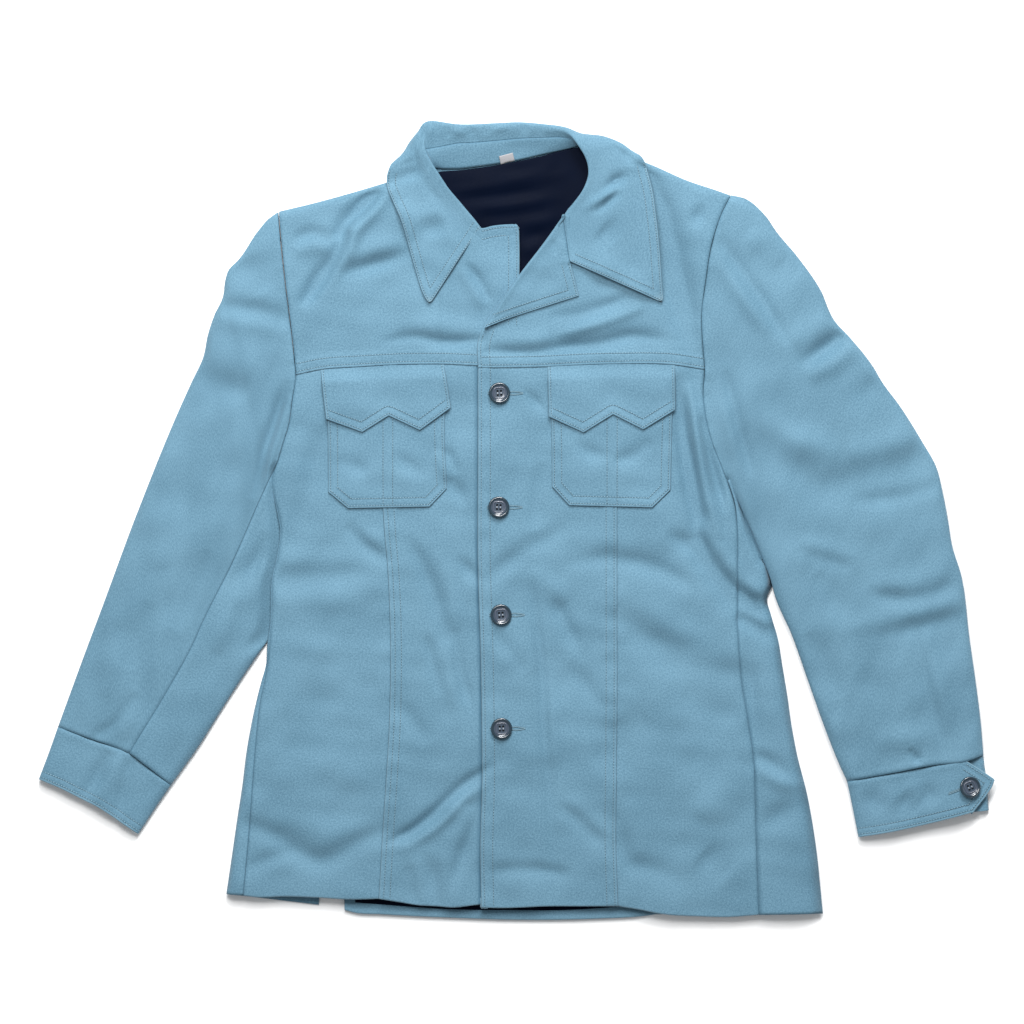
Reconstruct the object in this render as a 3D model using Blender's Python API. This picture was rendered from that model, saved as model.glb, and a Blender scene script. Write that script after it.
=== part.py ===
"""Leisure suit jacket, buttoned and laid flat on its back.

Metres, +Z up, +Y towards the collar, +X towards the sleeve with the tab on its cuff.
Left and right are as seen from above. The tables hold millimetres on the plan of the laid-out jacket.
Each piece of cloth is a grid between its cut edges, raised to its height and given its thickness.
"""

import math
from collections import namedtuple

import bmesh
import bpy
from mathutils import Vector
from mathutils.bvhtree import BVHTree

# Driving dimensions
MM = 0.001
CLOTH = 1.5 * MM
LINING = 1.0 * MM
LABEL = 1.0 * MM
SEAM_GAP = 0.4 * MM
FOLD_GAP = 1.4 * MM
SIDE_GAP = 0.9 * MM
SHOULDER_GAP = 3.2 * MM
LAYER_GAP = 0.4 * MM
LOWER = CLOTH / 2
UPPER = 6.2 * MM
EDGE_RADIUS = (UPPER - LOWER) / 2
EDGE_STEPS = (0.3, 1.5)
SIDE_SEAM_START = 0.12
COLLAR_LIFT = 2.2 * MM
YOKE_LIFT = 1.4 * MM
FRONT_STEP = CLOTH + LAYER_GAP + 0.4 * MM
LAPEL_ROLL_RISE = 2.2 * MM
LAPEL_NEAR_RISE = 1.0 * MM
STAND_SHARE = 0.65
BUTTON_DIAMETER = 20.0 * MM
BUTTON_THICKNESS = 3.6 * MM
THREAD_HOLE = 2.2 * MM
THREAD_SPACING = 4.4 * MM
TAB_STEP = CLOTH + LAYER_GAP + 0.3 * MM
BUTTON_SIDES = 20
RIM_ANGLE = math.radians(50)

# Places and reaches on the plan, in millimetres
UNDERLAP_X = 3.0
FRONT_LAP = (34, 8)
BACK_MIDDLE_X = 3.0
COLLAR_FALL_Y = (262, 284)
COLLAR_FALL_X = (150, 128)
FOLD_MARGIN = 25

Place = namedtuple("Place", "x y")
Level = namedtuple(
    "Level", "y outline_l side_l panel_l front panel_r side_r outline_r vent_l back_l back_r"
)
Rung = namedtuple("Rung", "outer_x outer_y seam_x seam_y inner_x inner_y bow")
Station = namedtuple(
    "Station", "neck_x neck_y neck_z roll_x roll_y roll_z out_x out_y out_z edge_x edge_y edge_z"
)
Fold = namedtuple("Fold", "x0 y0 x1 y1 width height")


def places(*pairs):
    return [Place(*pair) for pair in pairs]


# Cut edges of the upper body, from the shoulder downwards or from the sleeve inwards
SHOULDER_L = places((-221, 286), (-184, 295), (-148, 305), (-121, 313), (-98, 319), (-77, 324))
SHOULDER_R = places((199, 301), (188, 305), (161, 314), (119, 332), (93, 340), (66, 349))
ARMHOLE_L = places(
    (-221, 286), (-216, 235), (-209, 180), (-205, 134), (-209, 103), (-218, 64), (-224.5, 43), (-227.8, 34)
)
ARMHOLE_R = places(
    (199, 301), (184, 263), (173, 205), (175, 140), (173, 110), (181, 74), (191.5, 48), (197.8, 34)
)
YOKE_STEPS = (0.4, 0.75)
ARMHOLE_YOKE_ROW = 3
ARMHOLE_BACK_ROW = 5
NECK_BACK = places((-77, 324), (-51, 325), (-20, 329), (15, 336), (53, 345), (66, 349))
NECK_FRONT_L = places((-77, 324), (-77, 318), (-56, 289), (-33, 269), (2, 273), (3, 205), (3, 140))
NECK_FRONT_R = places((66, 349), (69, 320), (44, 279), (-1, 222), (-32, 177), (-36, 170), (-36, 140))
YOKE_SEAM_L = places(
    (-205, 134), (-201, 135), (-183, 139), (-164, 140), (-144, 141), (-124, 142), (-92, 144), (-60, 144),
    (-30, 142), (3, 140)
)
YOKE_SEAM_R = places(
    (175, 140), (146, 143), (119, 144), (93, 144), (63, 143), (29, 141), (8, 141), (-15, 140), (-36, 140)
)
PANEL_SEAM_L = 5
PANEL_SEAM_R = 3

# The body below the underarms, one row for each level down to the last one above the hem
LEVELS = [
    #     y    outline_l side_l panel_l front panel_r side_r outline_r vent_l back_l back_r
    Level(5, -222, -219, -124, -36, 93, 203.5, 206.5, -204, -204, 173),
    Level(-24, -221, -218, -122, -36, 93, 205, 217, -197, -197, 167),
    Level(-55, -227, -224, -119, -35.5, 93, 205, 230, -191, -191, 160),
    Level(-86, -229, -226, -118, -35, 93, 205, 233, -187, -187, 155),
    Level(-120, -233, -230, -118, -34, 93, 206, 244, -182, -182, 149),
    Level(-149, -237, -234, -118, -33.5, 93, 209, 250, -179, -179, 145),
    Level(-182, -245, -240, -118, -33, 93, 214, 255, -175, -175, 141),
    Level(-215, -251, -243, -120, -32.5, 93, 218, 260, -178, -172, 137),
    Level(-247, -255, -246, -122, -32.5, 93, 221, 267, -180, -168, 134),
    Level(-280, -260, -248, -124, -33, 93, 222, 273, -181, -165, 132),
    Level(-315, -265, -251, -126, -33.5, 93, 223, 279, -183, -162, 131),
]
HEM_FRONT_L = places(
    (-254, -350), (-250, -350), (-222, -351), (-190, -352), (-158, -353), (-128, -354), (-92, -358),
    (-60, -361), (-30, -360), (3, -359)
)
HEM_FRONT_R = places(
    (225, -370), (171, -369), (130, -366), (94, -360), (62, -360), (27, -360), (3, -361), (-15, -361),
    (-33, -361)
)
HEM_SIDE_L = places((-184, -359), (-270, -349), (-254, -350))
HEM_SIDE_R = places((130, -368), (284, -367), (225, -370))
HEM_BACK = places((-160, -364), (-120, -368), (-66, -371), (-4, -373), (42, -373), (90, -371), (130, -368))
LINING_TOP = places(
    (-212, 222), (-118, 290), (-73, 321), (-20, 327), (14, 333), (63, 346), (118, 305), (166, 250)
)
LINING_LEFT = places((-205, 134), (-209, 90), (-190, -30), (-172, -140), (-160, -250))
LINING_RIGHT = places((170, 134), (172, 90), (150, -30), (136, -140), (126, -250))
LINING_HEM = places(
    (-150, -357), (-110, -360), (-66, -363), (-4, -364), (42, -364), (80, -362), (100, -360), (122, -358)
)

# Right lapel: its roll line and its outer edge from the gorge to the point, then the lower edge
LAPEL_ROLL = places((40, 277), (24, 256), (-1, 222), (-29, 178))
LAPEL_OUTER = places((44, 273), (46, 255), (49, 238), (58, 207))
LAPEL_LOWER = places((-29, 178), (0, 189), (29, 197), (58, 207))

# Sleeves, one row for each rung from outer edge to inner edge, from the armhole to the cuff seam
SLEEVE_L = [
    Rung(-221.6, 285.8, -224.5, 43, -230.4, 32, 1.0),
    Rung(-251, 252, -233, 34, -232, 22, 0.75),
    Rung(-270, 222, -239, 23, -230, 12, 0.5),
    Rung(-283, 185, -244, 12, -227.5, 1, 0.28),
    Rung(-296, 143, -250, -1, -226.5, -14, 0.1),
    Rung(-318, 92, -257, -19, -228, -34, 0.0),
    Rung(-346, 24, -267, -44, -232, -60, 0.0),
    Rung(-370, -42, -280, -73, -234.5, -88, 0.0),
    Rung(-391, -98, -293, -101, -236, -116, 0.0),
    Rung(-405, -136, -310, -133, -257, -151, 0.0),
    Rung(-416, -165, -330, -168, -287, -197, 0.0),
    Rung(-426, -193, -360, -218, -321, -247, 0.0),
]
SLEEVE_R = [
    Rung(199, 301, 191.5, 48, 200.6, 32, 1.0),
    Rung(226, 288, 208, 38, 206.5, 20, 0.75),
    Rung(257, 250, 218, 27, 211.5, 8, 0.5),
    Rung(290, 203, 228, 11, 217, -7, 0.28),
    Rung(329, 143, 237, -8, 224, -24, 0.1),
    Rung(366, 92, 247, -30, 233, -45, 0.0),
    Rung(395, 35, 256, -59, 242, -72, 0.0),
    Rung(406, -22, 269, -92, 255, -104, 0.0),
    Rung(416, -68, 283, -132, 269, -143, 0.0),
    Rung(422, -115, 297, -172, 283, -183, 0.0),
    Rung(429, -165, 311, -206, 296, -215, 0.0),
    Rung(434, -219, 330, -240, 307, -244, 0.0),
]
CUFF_SEAM_L = places(
    (-426, -193), (-412, -199), (-398, -204), (-386, -208), (-374, -212), (-360, -218), (-321, -247)
)
CUFF_HEM_L = places(
    (-444, -243), (-424, -251), (-405, -261), (-390, -268), (-376, -276), (-364, -285), (-351, -293)
)
CUFF_SEAM_R = places(
    (434, -219), (417, -224), (391, -228), (372, -232), (350, -236), (330, -240), (307, -244)
)
CUFF_HEM_R = places(
    (440, -271), (424, -272), (400, -278), (378, -284), (360, -288), (340, -292), (318, -296)
)
CUFF_TAB = places((419, -225), (445, -242), (439, -252), (424, -272))
TAB_SHARES = (0.0, 0.34, 0.56, 1.0)
TAB_OVERLAP = 22 * MM
TAB_RUN = 20 * MM

# Pockets and flaps
PATCH_ROWS = 4
POCKET_L_TOP = places((-176, 120), (-157, 120), (-120, 119), (-84, 119), (-67, 119))
POCKET_L_BOTTOM = places((-175, 26), (-156, 10), (-120, 10), (-81, 11), (-65, 28))
POCKET_R_TOP = places((33, 119), (49, 119), (88, 119), (126, 119), (144, 119))
POCKET_R_BOTTOM = places((33, 30), (49, 12), (88, 11), (126, 11), (143, 27))
FLAP_L_TOP = places((-182, 138), (-145, 140), (-120, 141), (-90, 142), (-67, 142))
FLAP_L_BOTTOM = places((-177, 91), (-143, 80), (-119, 96), (-90, 82), (-61, 103))
FLAP_R_TOP = places((29, 140), (62, 141), (90, 142), (118, 142), (147, 142))
FLAP_R_BOTTOM = places((30, 95), (62, 80), (90, 97), (118, 83), (148, 101))

# Collar and stand, one row for each section round the neck, from the left leaf's end to the right one's
COLLAR = [
    #       neck           roll           out             edge
    Station(-33, 270.5, 8, -33, 271, 10, -47, 251, 10.5, -81, 199, 9.5),
    Station(-42, 278.5, 8, -41, 281, 12, -55, 262, 11.5, -89, 213, 9.5),
    Station(-54, 290.5, 8, -52, 294, 14, -67, 279, 12.5, -98, 243, 9.5),
    Station(-65, 304.5, 8, -63, 307, 16, -77, 297, 14, -107, 276, 9.5),
    Station(-72, 315.5, 8, -71, 319, 17.5, -86, 312, 15, -116, 297, 9.5),
    Station(-75.5, 323.5, 7, -77, 331, 18, -91, 326, 15, -119.5, 310, 10.5),
    Station(-76, 326, 5.5, -80, 341, 18, -96, 338, 13, -122, 322, 6),
    Station(-73, 326, 4.8, -82, 351, 17, -103, 346, 6, -109, 328, 0.75),
    Station(-68, 325.5, 4.4, -82, 361, 16, -92, 360, 5.5, -92, 306, 0.75),
    Station(-60, 325.5, 4.2, -78, 369, 15, -81, 370.5, 6, -74, 299, 0.75),
    Station(-49, 326, 4.2, -52, 367, 14, -52, 370, 6, -48, 298, 0.75),
    Station(-20, 330, 4.2, -18, 367.5, 14, -18, 370.5, 6, -18, 301, 0.75),
    Station(3, 334, 4.2, 3, 368, 14, 3, 371, 6, 4, 306, 0.75),
    Station(24, 339, 4.2, 26, 367.5, 14, 27, 370.5, 6, 27, 312, 0.75),
    Station(42, 343, 4.2, 42, 364.5, 15, 47, 367, 6, 50, 317, 0.75),
    Station(52, 345.5, 4.4, 49, 360, 16, 62, 361, 5.5, 72, 322, 0.75),
    Station(58, 347.5, 4.8, 54, 353, 17.5, 83, 358, 5.5, 92, 330, 0.75),
    Station(63, 349.5, 5.2, 59, 345, 18, 103, 350, 6, 110, 341.5, 0.75),
    Station(64.6, 345, 7.2, 63, 337, 18, 84, 345, 14, 121, 336, 6),
    Station(67.2, 335, 8.4, 66, 328, 17.5, 86, 333, 15, 121.5, 325, 10.5),
    Station(66.9, 321.7, 8.4, 66, 317, 16, 85, 315, 14, 126, 304, 9.5),
    Station(61.6, 305.3, 8.4, 61, 305, 14.5, 80, 301, 13, 130, 278, 9.5),
    Station(53.9, 294.8, 8.4, 53, 294, 13, 71, 285, 12, 132, 254, 9.5),
    Station(47.0, 286, 8.4, 47, 287, 12, 62, 273, 11.5, 134, 226, 9.5),
    Station(43.8, 280.2, 8, 43, 280.5, 11, 52, 241, 10.5, 136, 201, 9.5),
]
LEAF_TURN = 0.5
UNDER_TURN = 0.3
CROWN_TURN = 0.4
CROWN_RISE = 0.35
LEAF_FLOOR = 5.0

# The largest folds, as soft ridges
FRONT_FOLDS = [
    Fold(-122, 300, -190, 205, 13, 3.0),
    Fold(-205, -38, -158, -40, 14, 2.5),
    Fold(-205, -70, -150, -66, 14, 2.5),
    Fold(-40, -230, -105, -282, 14, 2.5),
    Fold(158, 85, 152, 0, 14, 3.0),
    Fold(150, -28, 196, -88, 14, 4.0),
    Fold(165, 0, 200, -55, 13, 2.5),
    Fold(100, -118, 196, -155, 15, 3.0),
    Fold(48, -268, 72, -310, 14, 2.0),
    Fold(160, 295, 168, 190, 14, 3.0),
]
SLEEVE_FOLDS = [
    Fold(-252, 232, -262, 165, 13, 3.0),
    Fold(-240, 50, -262, 0, 13, 2.5),
    Fold(-300, 20, -330, -60, 14, 2.0),
    Fold(-330, -110, -375, -130, 13, 2.0),
    Fold(205, 240, 242, 180, 13, 3.5),
    Fold(290, 80, 312, -10, 14, 2.5),
    Fold(330, -66, 400, -62, 12, 3.0),
    Fold(326, -108, 410, -92, 12, 2.5),
    Fold(370, -120, 384, -175, 12, 2.0),
]

# A folded label at the back of the neck
LABEL_X = (-16.3, -1.3)
LABEL_Y = (340.0, 330.5)

# A button's half section, as shares of its radius and thickness
BUTTON_PROFILE = [
    (0.0, 0.0), (0.72, 0.0), (1.0, 0.42), (0.95, 0.86), (0.84, 1.0), (0.66, 0.74), (0.0, 0.66)
]
BUTTONS = {
    "button_1": (Place(-16, 117), "front_centre_right"),
    "button_2": (Place(-16.5, 11), "front_centre_right"),
    "button_3": (Place(-15, -89), "front_centre_right"),
    "button_4": (Place(-14, -195), "front_centre_right"),
    "button_cuff": (Place(419.5, -248.5), "cuff_right"),
}


def linear(red, green, blue):
    """A colour named by its 0 to 255 display values, as the material reads it."""
    return (*((value / 255) ** 2.2 for value in (red, green, blue)), 1.0)


def material(name, colour, roughness):
    made = bpy.data.materials.new(name)
    made.use_nodes = True
    shader = made.node_tree.nodes["Principled BSDF"]
    shader.inputs["Base Color"].default_value = colour
    shader.inputs["Roughness"].default_value = roughness
    shader.inputs["Metallic"].default_value = 0.0
    return made


def smooth(share):
    share = min(max(share, 0.0), 1.0)
    return share * share * (3 - 2 * share)


def ramp(value, reach):
    """0 at the start of a reach, 1 at its end, eased at both."""
    return smooth((value - reach[0]) / (reach[1] - reach[0]))


# Distances on the plan


def gap_to_segment(x, y, start, end):
    run = Vector((end[0] - start[0], end[1] - start[1]))
    away = Vector((x - start[0], y - start[1]))
    along = min(max(away.dot(run) / max(run.length_squared, 1e-9), 0.0), 1.0)
    return (away - run * along).length


def gap_to_lines(x, y, lines):
    return min(
        gap_to_segment(x, y, start, end) for line in lines for start, end in zip(line, line[1:])
    )


# Silhouettes, where the upper cloth turns over into the lower one

BODY_EDGES = [
    SHOULDER_L,
    SHOULDER_R,
    [ARMHOLE_L[-1]] + [(level.outline_l, level.y) for level in LEVELS] + [HEM_SIDE_L[1]],
    [ARMHOLE_R[-1]] + [(level.outline_r, level.y) for level in LEVELS] + [HEM_SIDE_R[1]],
]


def sleeve_edges(rungs, cuff_hem):
    outer = [(rung.outer_x, rung.outer_y) for rung in rungs] + [cuff_hem[0]]
    inner = [(rung.inner_x, rung.inner_y) for rung in rungs] + [cuff_hem[-1]]
    return [outer, inner]


SLEEVE_EDGES_L = sleeve_edges(SLEEVE_L, CUFF_HEM_L)
SLEEVE_EDGES_R = sleeve_edges(SLEEVE_R, CUFF_HEM_R)


def roundness(x, y, edges):
    """0 on a silhouette, 1 from one edge radius inside it."""
    share = min(gap_to_lines(x, y, edges) * MM / EDGE_RADIUS, 1.0)
    return math.sqrt(max(1 - (1 - share) ** 2, 0.0))


def fold_height(x, y, folds):
    total = 0.0
    for fold in folds:
        away = gap_to_segment(x, y, (fold.x0, fold.y0), (fold.x1, fold.y1))
        total += fold.height * MM * math.exp(-((away / fold.width) ** 2))
    return total


def over_collar(x, y):
    """1 where the collar's fall lies folded under the back of the neck, 0 clear of it."""
    return ramp(y, COLLAR_FALL_Y) * ramp(abs(x - BACK_MIDDLE_X), COLLAR_FALL_X)


def upper(edges, folds):
    """Height of the middle of the upper cloth, with its folds."""

    def height(x, y):
        full = roundness(x, y, edges)
        inside = smooth(gap_to_lines(x, y, edges) / FOLD_MARGIN)
        lift = YOKE_LIFT * over_collar(x, y)
        return LOWER + EDGE_RADIUS * (1 + full) + fold_height(x, y, folds) * inside + lift * full

    return height


def lower(edges):
    """Height of the middle of the lower cloth, flat on the surface but for its rounded sides."""

    def height(x, y):
        flat = LOWER + COLLAR_LIFT * over_collar(x, y)
        return max(LOWER + EDGE_RADIUS * (1 - roundness(x, y, edges)), flat)

    return height


def right_front(x, y):
    """The right front's height, which steps up where it laps over the left one."""
    return upper(BODY_EDGES, FRONT_FOLDS)(x, y) + FRONT_STEP * ramp(x, FRONT_LAP)


# Grids


def shares(edge, other):
    """How far along two opposite edges each of their points lies, from 0 to 1."""
    totals = []
    for line in (edge, other):
        runs = [0.0]
        for start, end in zip(line, line[1:]):
            runs.append(runs[-1] + math.dist(start[:2], end[:2]))
        totals.append([run / runs[-1] for run in runs])
    return [(a + b) / 2 for a, b in zip(*totals)]


def patch(top, bottom, left, right):
    """Plan points, row by row, of the surface between four cut edges that share their corners."""
    across, down = shares(top, bottom), shares(left, right)
    rows = []
    for i, t in enumerate(down):
        row = []
        for j, s in enumerate(across):
            point = [
                (1 - s) * left[i][k] + s * right[i][k] + (1 - t) * top[j][k] + t * bottom[j][k]
                - (1 - s) * (1 - t) * top[0][k] - s * (1 - t) * top[-1][k]
                - (1 - s) * t * bottom[0][k] - s * t * bottom[-1][k]
                for k in (0, 1)
            ]
            row.append(Place(*point))
        rows.append(row)
    return rows


def between(start, end, share):
    return tuple(a + (b - a) * share for a, b in zip(start, end))


def spaced(line, count):
    """The line with its length shared out evenly over a number of points."""
    runs = [math.dist(a, b) for a, b in zip(line, line[1:])]
    points = []
    for step in range(count):
        along = sum(runs) * step / (count - 1)
        k = 0
        while k < len(runs) - 1 and along > runs[k]:
            along -= runs[k]
            k += 1
        points.append(Place(*between(line[k], line[k + 1], min(along / runs[k], 1.0))))
    return points


def turned(line, first=True, last=True):
    """The line with two more points by an end where the cloth turns over a silhouette."""
    points = list(line)
    radius = EDGE_RADIUS / MM
    if first:
        run = math.dist(points[0], points[1])
        points[1:1] = [Place(*between(points[0], points[1], part * radius / run)) for part in EDGE_STEPS]
    if last:
        run = math.dist(points[-1], points[-2])
        parts = EDGE_STEPS[::-1]
        points[-1:-1] = [Place(*between(points[-1], points[-2], part * radius / run)) for part in parts]
    return points


def raised(rows, height):
    """The plan rows in metres, each point at its height."""
    return [[Vector((x * MM, y * MM, height(x, y))) for x, y in row] for row in rows]


def pulled_in(rows, top=SEAM_GAP, bottom=SEAM_GAP, left=SEAM_GAP, right=SEAM_GAP):
    """The rows with each cut edge drawn in, square to itself, by half of its gap to the next piece."""

    def drawn(edge, inner, gap):
        moved = []
        for k, point in enumerate(edge):
            along = (edge[min(k + 1, len(edge) - 1)] - edge[max(k - 1, 0)]).normalized()
            inward = inner[k] - point
            inward -= along * inward.dot(along)
            place = point + inward.normalized() * gap / 2
            place.z = max(place.z, LOWER)
            moved.append(place)
        return moved

    rows = [drawn(rows[0], rows[1], top)] + rows[1:-1] + [drawn(rows[-1], rows[-2], bottom)]
    columns = list(zip(*rows))
    first, last = drawn(columns[0], columns[1], left), drawn(columns[-1], columns[-2], right)
    return [list(row) for row in zip(first, *columns[1:-1], last)]


def cloth(name, rows, finish, thickness=CLOTH, closed=False):
    """A wall of cloth on a grid of points, closed into a ring if its last column meets its first."""
    mesh = bmesh.new()
    count_y, count_x = len(rows), len(rows[0])
    bmesh.ops.create_grid(mesh, x_segments=count_x - 1, y_segments=count_y - 1, size=0.5)
    ordered = sorted(mesh.verts, key=lambda vert: (round(vert.co.y, 5), round(vert.co.x, 5)))
    for vert, point in zip(ordered, [point for row in rows for point in row]):
        vert.co = point
    if closed:
        bmesh.ops.remove_doubles(mesh, verts=mesh.verts, dist=0.01 * MM)
    data = bpy.data.meshes.new(name)
    mesh.to_mesh(data)
    mesh.free()
    made = bpy.data.objects.new(name, data)
    bpy.context.collection.objects.link(made)
    data.materials.append(finish)
    wall = made.modifiers.new("Wall", "SOLIDIFY")
    wall.thickness = thickness
    wall.offset = 0.0
    wall.use_even_offset = False
    data.shade_smooth()
    return made


def laid_on(rows, below, thickness=CLOTH, gap=LAYER_GAP):
    """The rows raised until the cloth clears every piece below it."""
    bpy.context.view_layer.update()
    graph = bpy.context.evaluated_depsgraph_get()
    trees = [BVHTree.FromObject(piece, graph) for piece in below]
    rows = [[point.copy() for point in row] for row in rows]
    parts = [k / 4 for k in range(5)]

    def shortfall(point):
        need = -1.0
        for tree in trees:
            hit = tree.ray_cast(Vector((point.x, point.y, 1.0)), Vector((0, 0, -1)))[0]
            if hit:
                need = max(need, hit.z + gap + thickness / 2)
        return need - point.z

    for _ in range(4):
        rise = {}
        for i in range(len(rows) - 1):
            for j in range(len(rows[0]) - 1):
                corners = [(i, j), (i, j + 1), (i + 1, j), (i + 1, j + 1)]
                a, b, c, d = (rows[m][n] for m, n in corners)
                short = max(shortfall(a.lerp(b, s).lerp(c.lerp(d, s), t)) for s in parts for t in parts)
                for corner in corners:
                    rise[corner] = max(rise.get(corner, 0.0), short)
        for (i, j), short in rise.items():
            rows[i][j].z += max(short, 0.0)
    return rows


# Sleeves and cuffs


def bowed(rung, armhole):
    """A rung's points from outer to inner edge, bent by the share of the armhole's bow that reaches it."""
    start, end = (rung.outer_x, rung.outer_y), (rung.inner_x, rung.inner_y)
    points = []
    for point, share in zip(armhole, shares(armhole, armhole)):
        flat = between(start, end, share)
        chord = between(armhole[0], armhole[-1], share)
        points.append(Place(*(flat[k] + (point[k] - chord[k]) * rung.bow for k in (0, 1))))
    return points


def sleeve_rows(rungs, armhole, cuff_seam):
    """Plan rows of a sleeve from outer to inner edge; the last but one even column is its seam."""
    rows = []
    count = len(armhole)
    for rung in rungs:
        bent = bowed(rung, armhole)
        seam = (rung.seam_x, rung.seam_y)
        shift = [a - b for a, b in zip(seam, bent[-2])]
        row = []
        for k, point in enumerate(bent):
            share = k / (count - 2) if k < count - 1 else 0.0
            row.append(Place(point[0] + shift[0] * share, point[1] + shift[1] * share))
        rows.append(turned(row))
    rows[-1] = turned(cuff_seam_points(cuff_seam, count))
    return rows


def cuff_seam_points(line, count):
    """The cuff seam's or hem's points, as many as the armhole has, with the seam's own one kept."""
    return spaced(line[:-1], count - 1) + [line[-1]]


def sleeve(side, rungs, armhole, cuff_seam, edges, seam_on_top, finish):
    """A top sleeve and an under sleeve, joined along the outer edge and along the seam."""
    plan = sleeve_rows(rungs, armhole, cuff_seam)
    top = raised(plan, upper(edges, SLEEVE_FOLDS))
    below = raised(plan, lower(edges))
    seam = len(armhole)
    if seam_on_top:
        upper_part = [row[: seam + 1] for row in top]
        under_part = [up[seam:] + down[-2::-1] for up, down in zip(top, below)]
        cut = SIDE_GAP
    else:
        upper_part = top
        under_part = [down[::-1] for down in below]
        cut = FOLD_GAP
    cloth(f"sleeve_top_{side}", pulled_in(upper_part, left=FOLD_GAP, right=cut), finish)
    cloth(f"sleeve_under_{side}", pulled_in(under_part, left=cut, right=FOLD_GAP), finish)


def cuff_plan(seam, hem, shares_down, count):
    start, end = cuff_seam_points(seam, count), cuff_seam_points(hem, count)
    return [
        turned([Place(*between(a, b, share)) for a, b in zip(start, end)]) for share in shares_down
    ]


def closed_cuff(name, seam, hem, edges, count, finish):
    """A cuff that runs all the way round, open at both ends."""
    plan = cuff_plan(seam, hem, (0.0, 0.5, 1.0), count)
    top, below = raised(plan, upper(edges, [])), raised(plan, lower(edges))
    rows = [up + down[-2::-1] for up, down in zip(top, below)]
    rows = pulled_in(rows, left=0, right=0, bottom=0)
    return cloth(name, rows, finish, closed=True)


def tabbed_cuff(name, seam, hem, tab, edges, count, finish):
    """A cuff whose upper end runs past the outer edge as a pointed tab, over its own under end."""
    plan = cuff_plan(seam, hem, TAB_SHARES, count)
    height = upper(edges, [])
    below = raised(plan, lower(edges))
    rows = []
    for share_row, down, point in zip(plan, below, tab):
        under_end = raised([share_row[3:0:-1]], height)[0]
        inner = raised([share_row[:3:-1]], height)[0]
        top_end = Vector((point[0] * MM, point[1] * MM, UPPER))
        last = inner[-1].copy()
        inner[-1] = last.lerp(top_end, 0.1)
        inner += [last.lerp(top_end, part) for part in (0.45, 1.0)]
        for place in inner:
            place.z += TAB_STEP * smooth(1 + (place.x - top_end.x + TAB_OVERLAP) / TAB_RUN)
        rows.append(under_end + down + inner)
    return cloth(name, pulled_in(rows, left=0, right=0, bottom=0), finish)


# Pieces of the body


def column(name):
    return [Place(getattr(level, name), level.y) for level in LEVELS]


def upright(x, line):
    """Points straight above each other at x, one beside each point of the line."""
    return [Place(x, place[1]) for place in line]


def make_back(finish):
    top = SHOULDER_L + NECK_BACK[1:-1] + SHOULDER_R[::-1]
    bottom = spaced(HEM_BACK, len(top))
    armhole_l = turned(ARMHOLE_L[: ARMHOLE_BACK_ROW + 1], last=False)
    armhole_r = turned(ARMHOLE_R[: ARMHOLE_BACK_ROW + 1], last=False)
    left = armhole_l + column("back_l") + [HEM_BACK[0]]
    right = armhole_r + column("back_r") + [HEM_BACK[-1]]
    rows = raised(patch(top, bottom, left, right), lower(BODY_EDGES))
    cloth("back_centre", pulled_in(rows, bottom=0, top=SHOULDER_GAP), finish)


def make_side_back(side, armhole, outline, seam, vent, hem, finish):
    """From the back seam on the surface, round the side fold, to the side seam on top."""
    radius = EDGE_RADIUS / MM
    inward = 1 if side == "left" else -1
    arm = turned(armhole)
    starts = [armhole[ARMHOLE_BACK_ROW]] + vent + [hem[0]]
    folds = [armhole[-1]] + outline + [hem[1]]
    ends = [between(arm[-3], seam[0], SIDE_SEAM_START)] + seam + [hem[2]]
    rows = []
    for start, fold, end in zip(starts, folds, ends):
        if start is starts[0]:
            below = arm[-5:-1]
            above = [between(fold, end, part) for part in (0.25, 0.5, 0.75, 1.0)]
        else:
            run = math.dist(start, fold)
            below = [start, between(start, fold, 0.5)]
            below += [between(fold, start, part * radius / run) for part in (1.0, 0.25)]
            reach = abs(end[0] - fold[0])
            turns = min(0.25 * radius, 0.3 * reach), min(radius, 0.6 * reach)
            above = [(fold[0] + inward * turn, fold[1]) for turn in turns]
            above += [between(above[-1], end, 0.5), end]
        rows.append(
            raised([below], lower(BODY_EDGES))[0]
            + [Vector((fold[0] * MM, fold[1] * MM, LOWER + EDGE_RADIUS))]
            + raised([above], upper(BODY_EDGES, FRONT_FOLDS))[0]
        )
    rows = pulled_in(rows, top=SIDE_GAP, bottom=0, left=SIDE_GAP, right=SIDE_GAP)
    cloth(f"back_side_{side}", rows, finish)


def make_lining(finish):
    left = [LINING_TOP[0]] + LINING_LEFT + [LINING_HEM[0]]
    right = [LINING_TOP[-1]] + LINING_RIGHT + [LINING_HEM[-1]]
    rows = raised(patch(LINING_TOP, LINING_HEM, left, right), lower(BODY_EDGES))
    back = [bpy.data.objects["back_centre"]]
    cloth("back_lining", laid_on(rows, back, LINING), finish, LINING)


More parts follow.
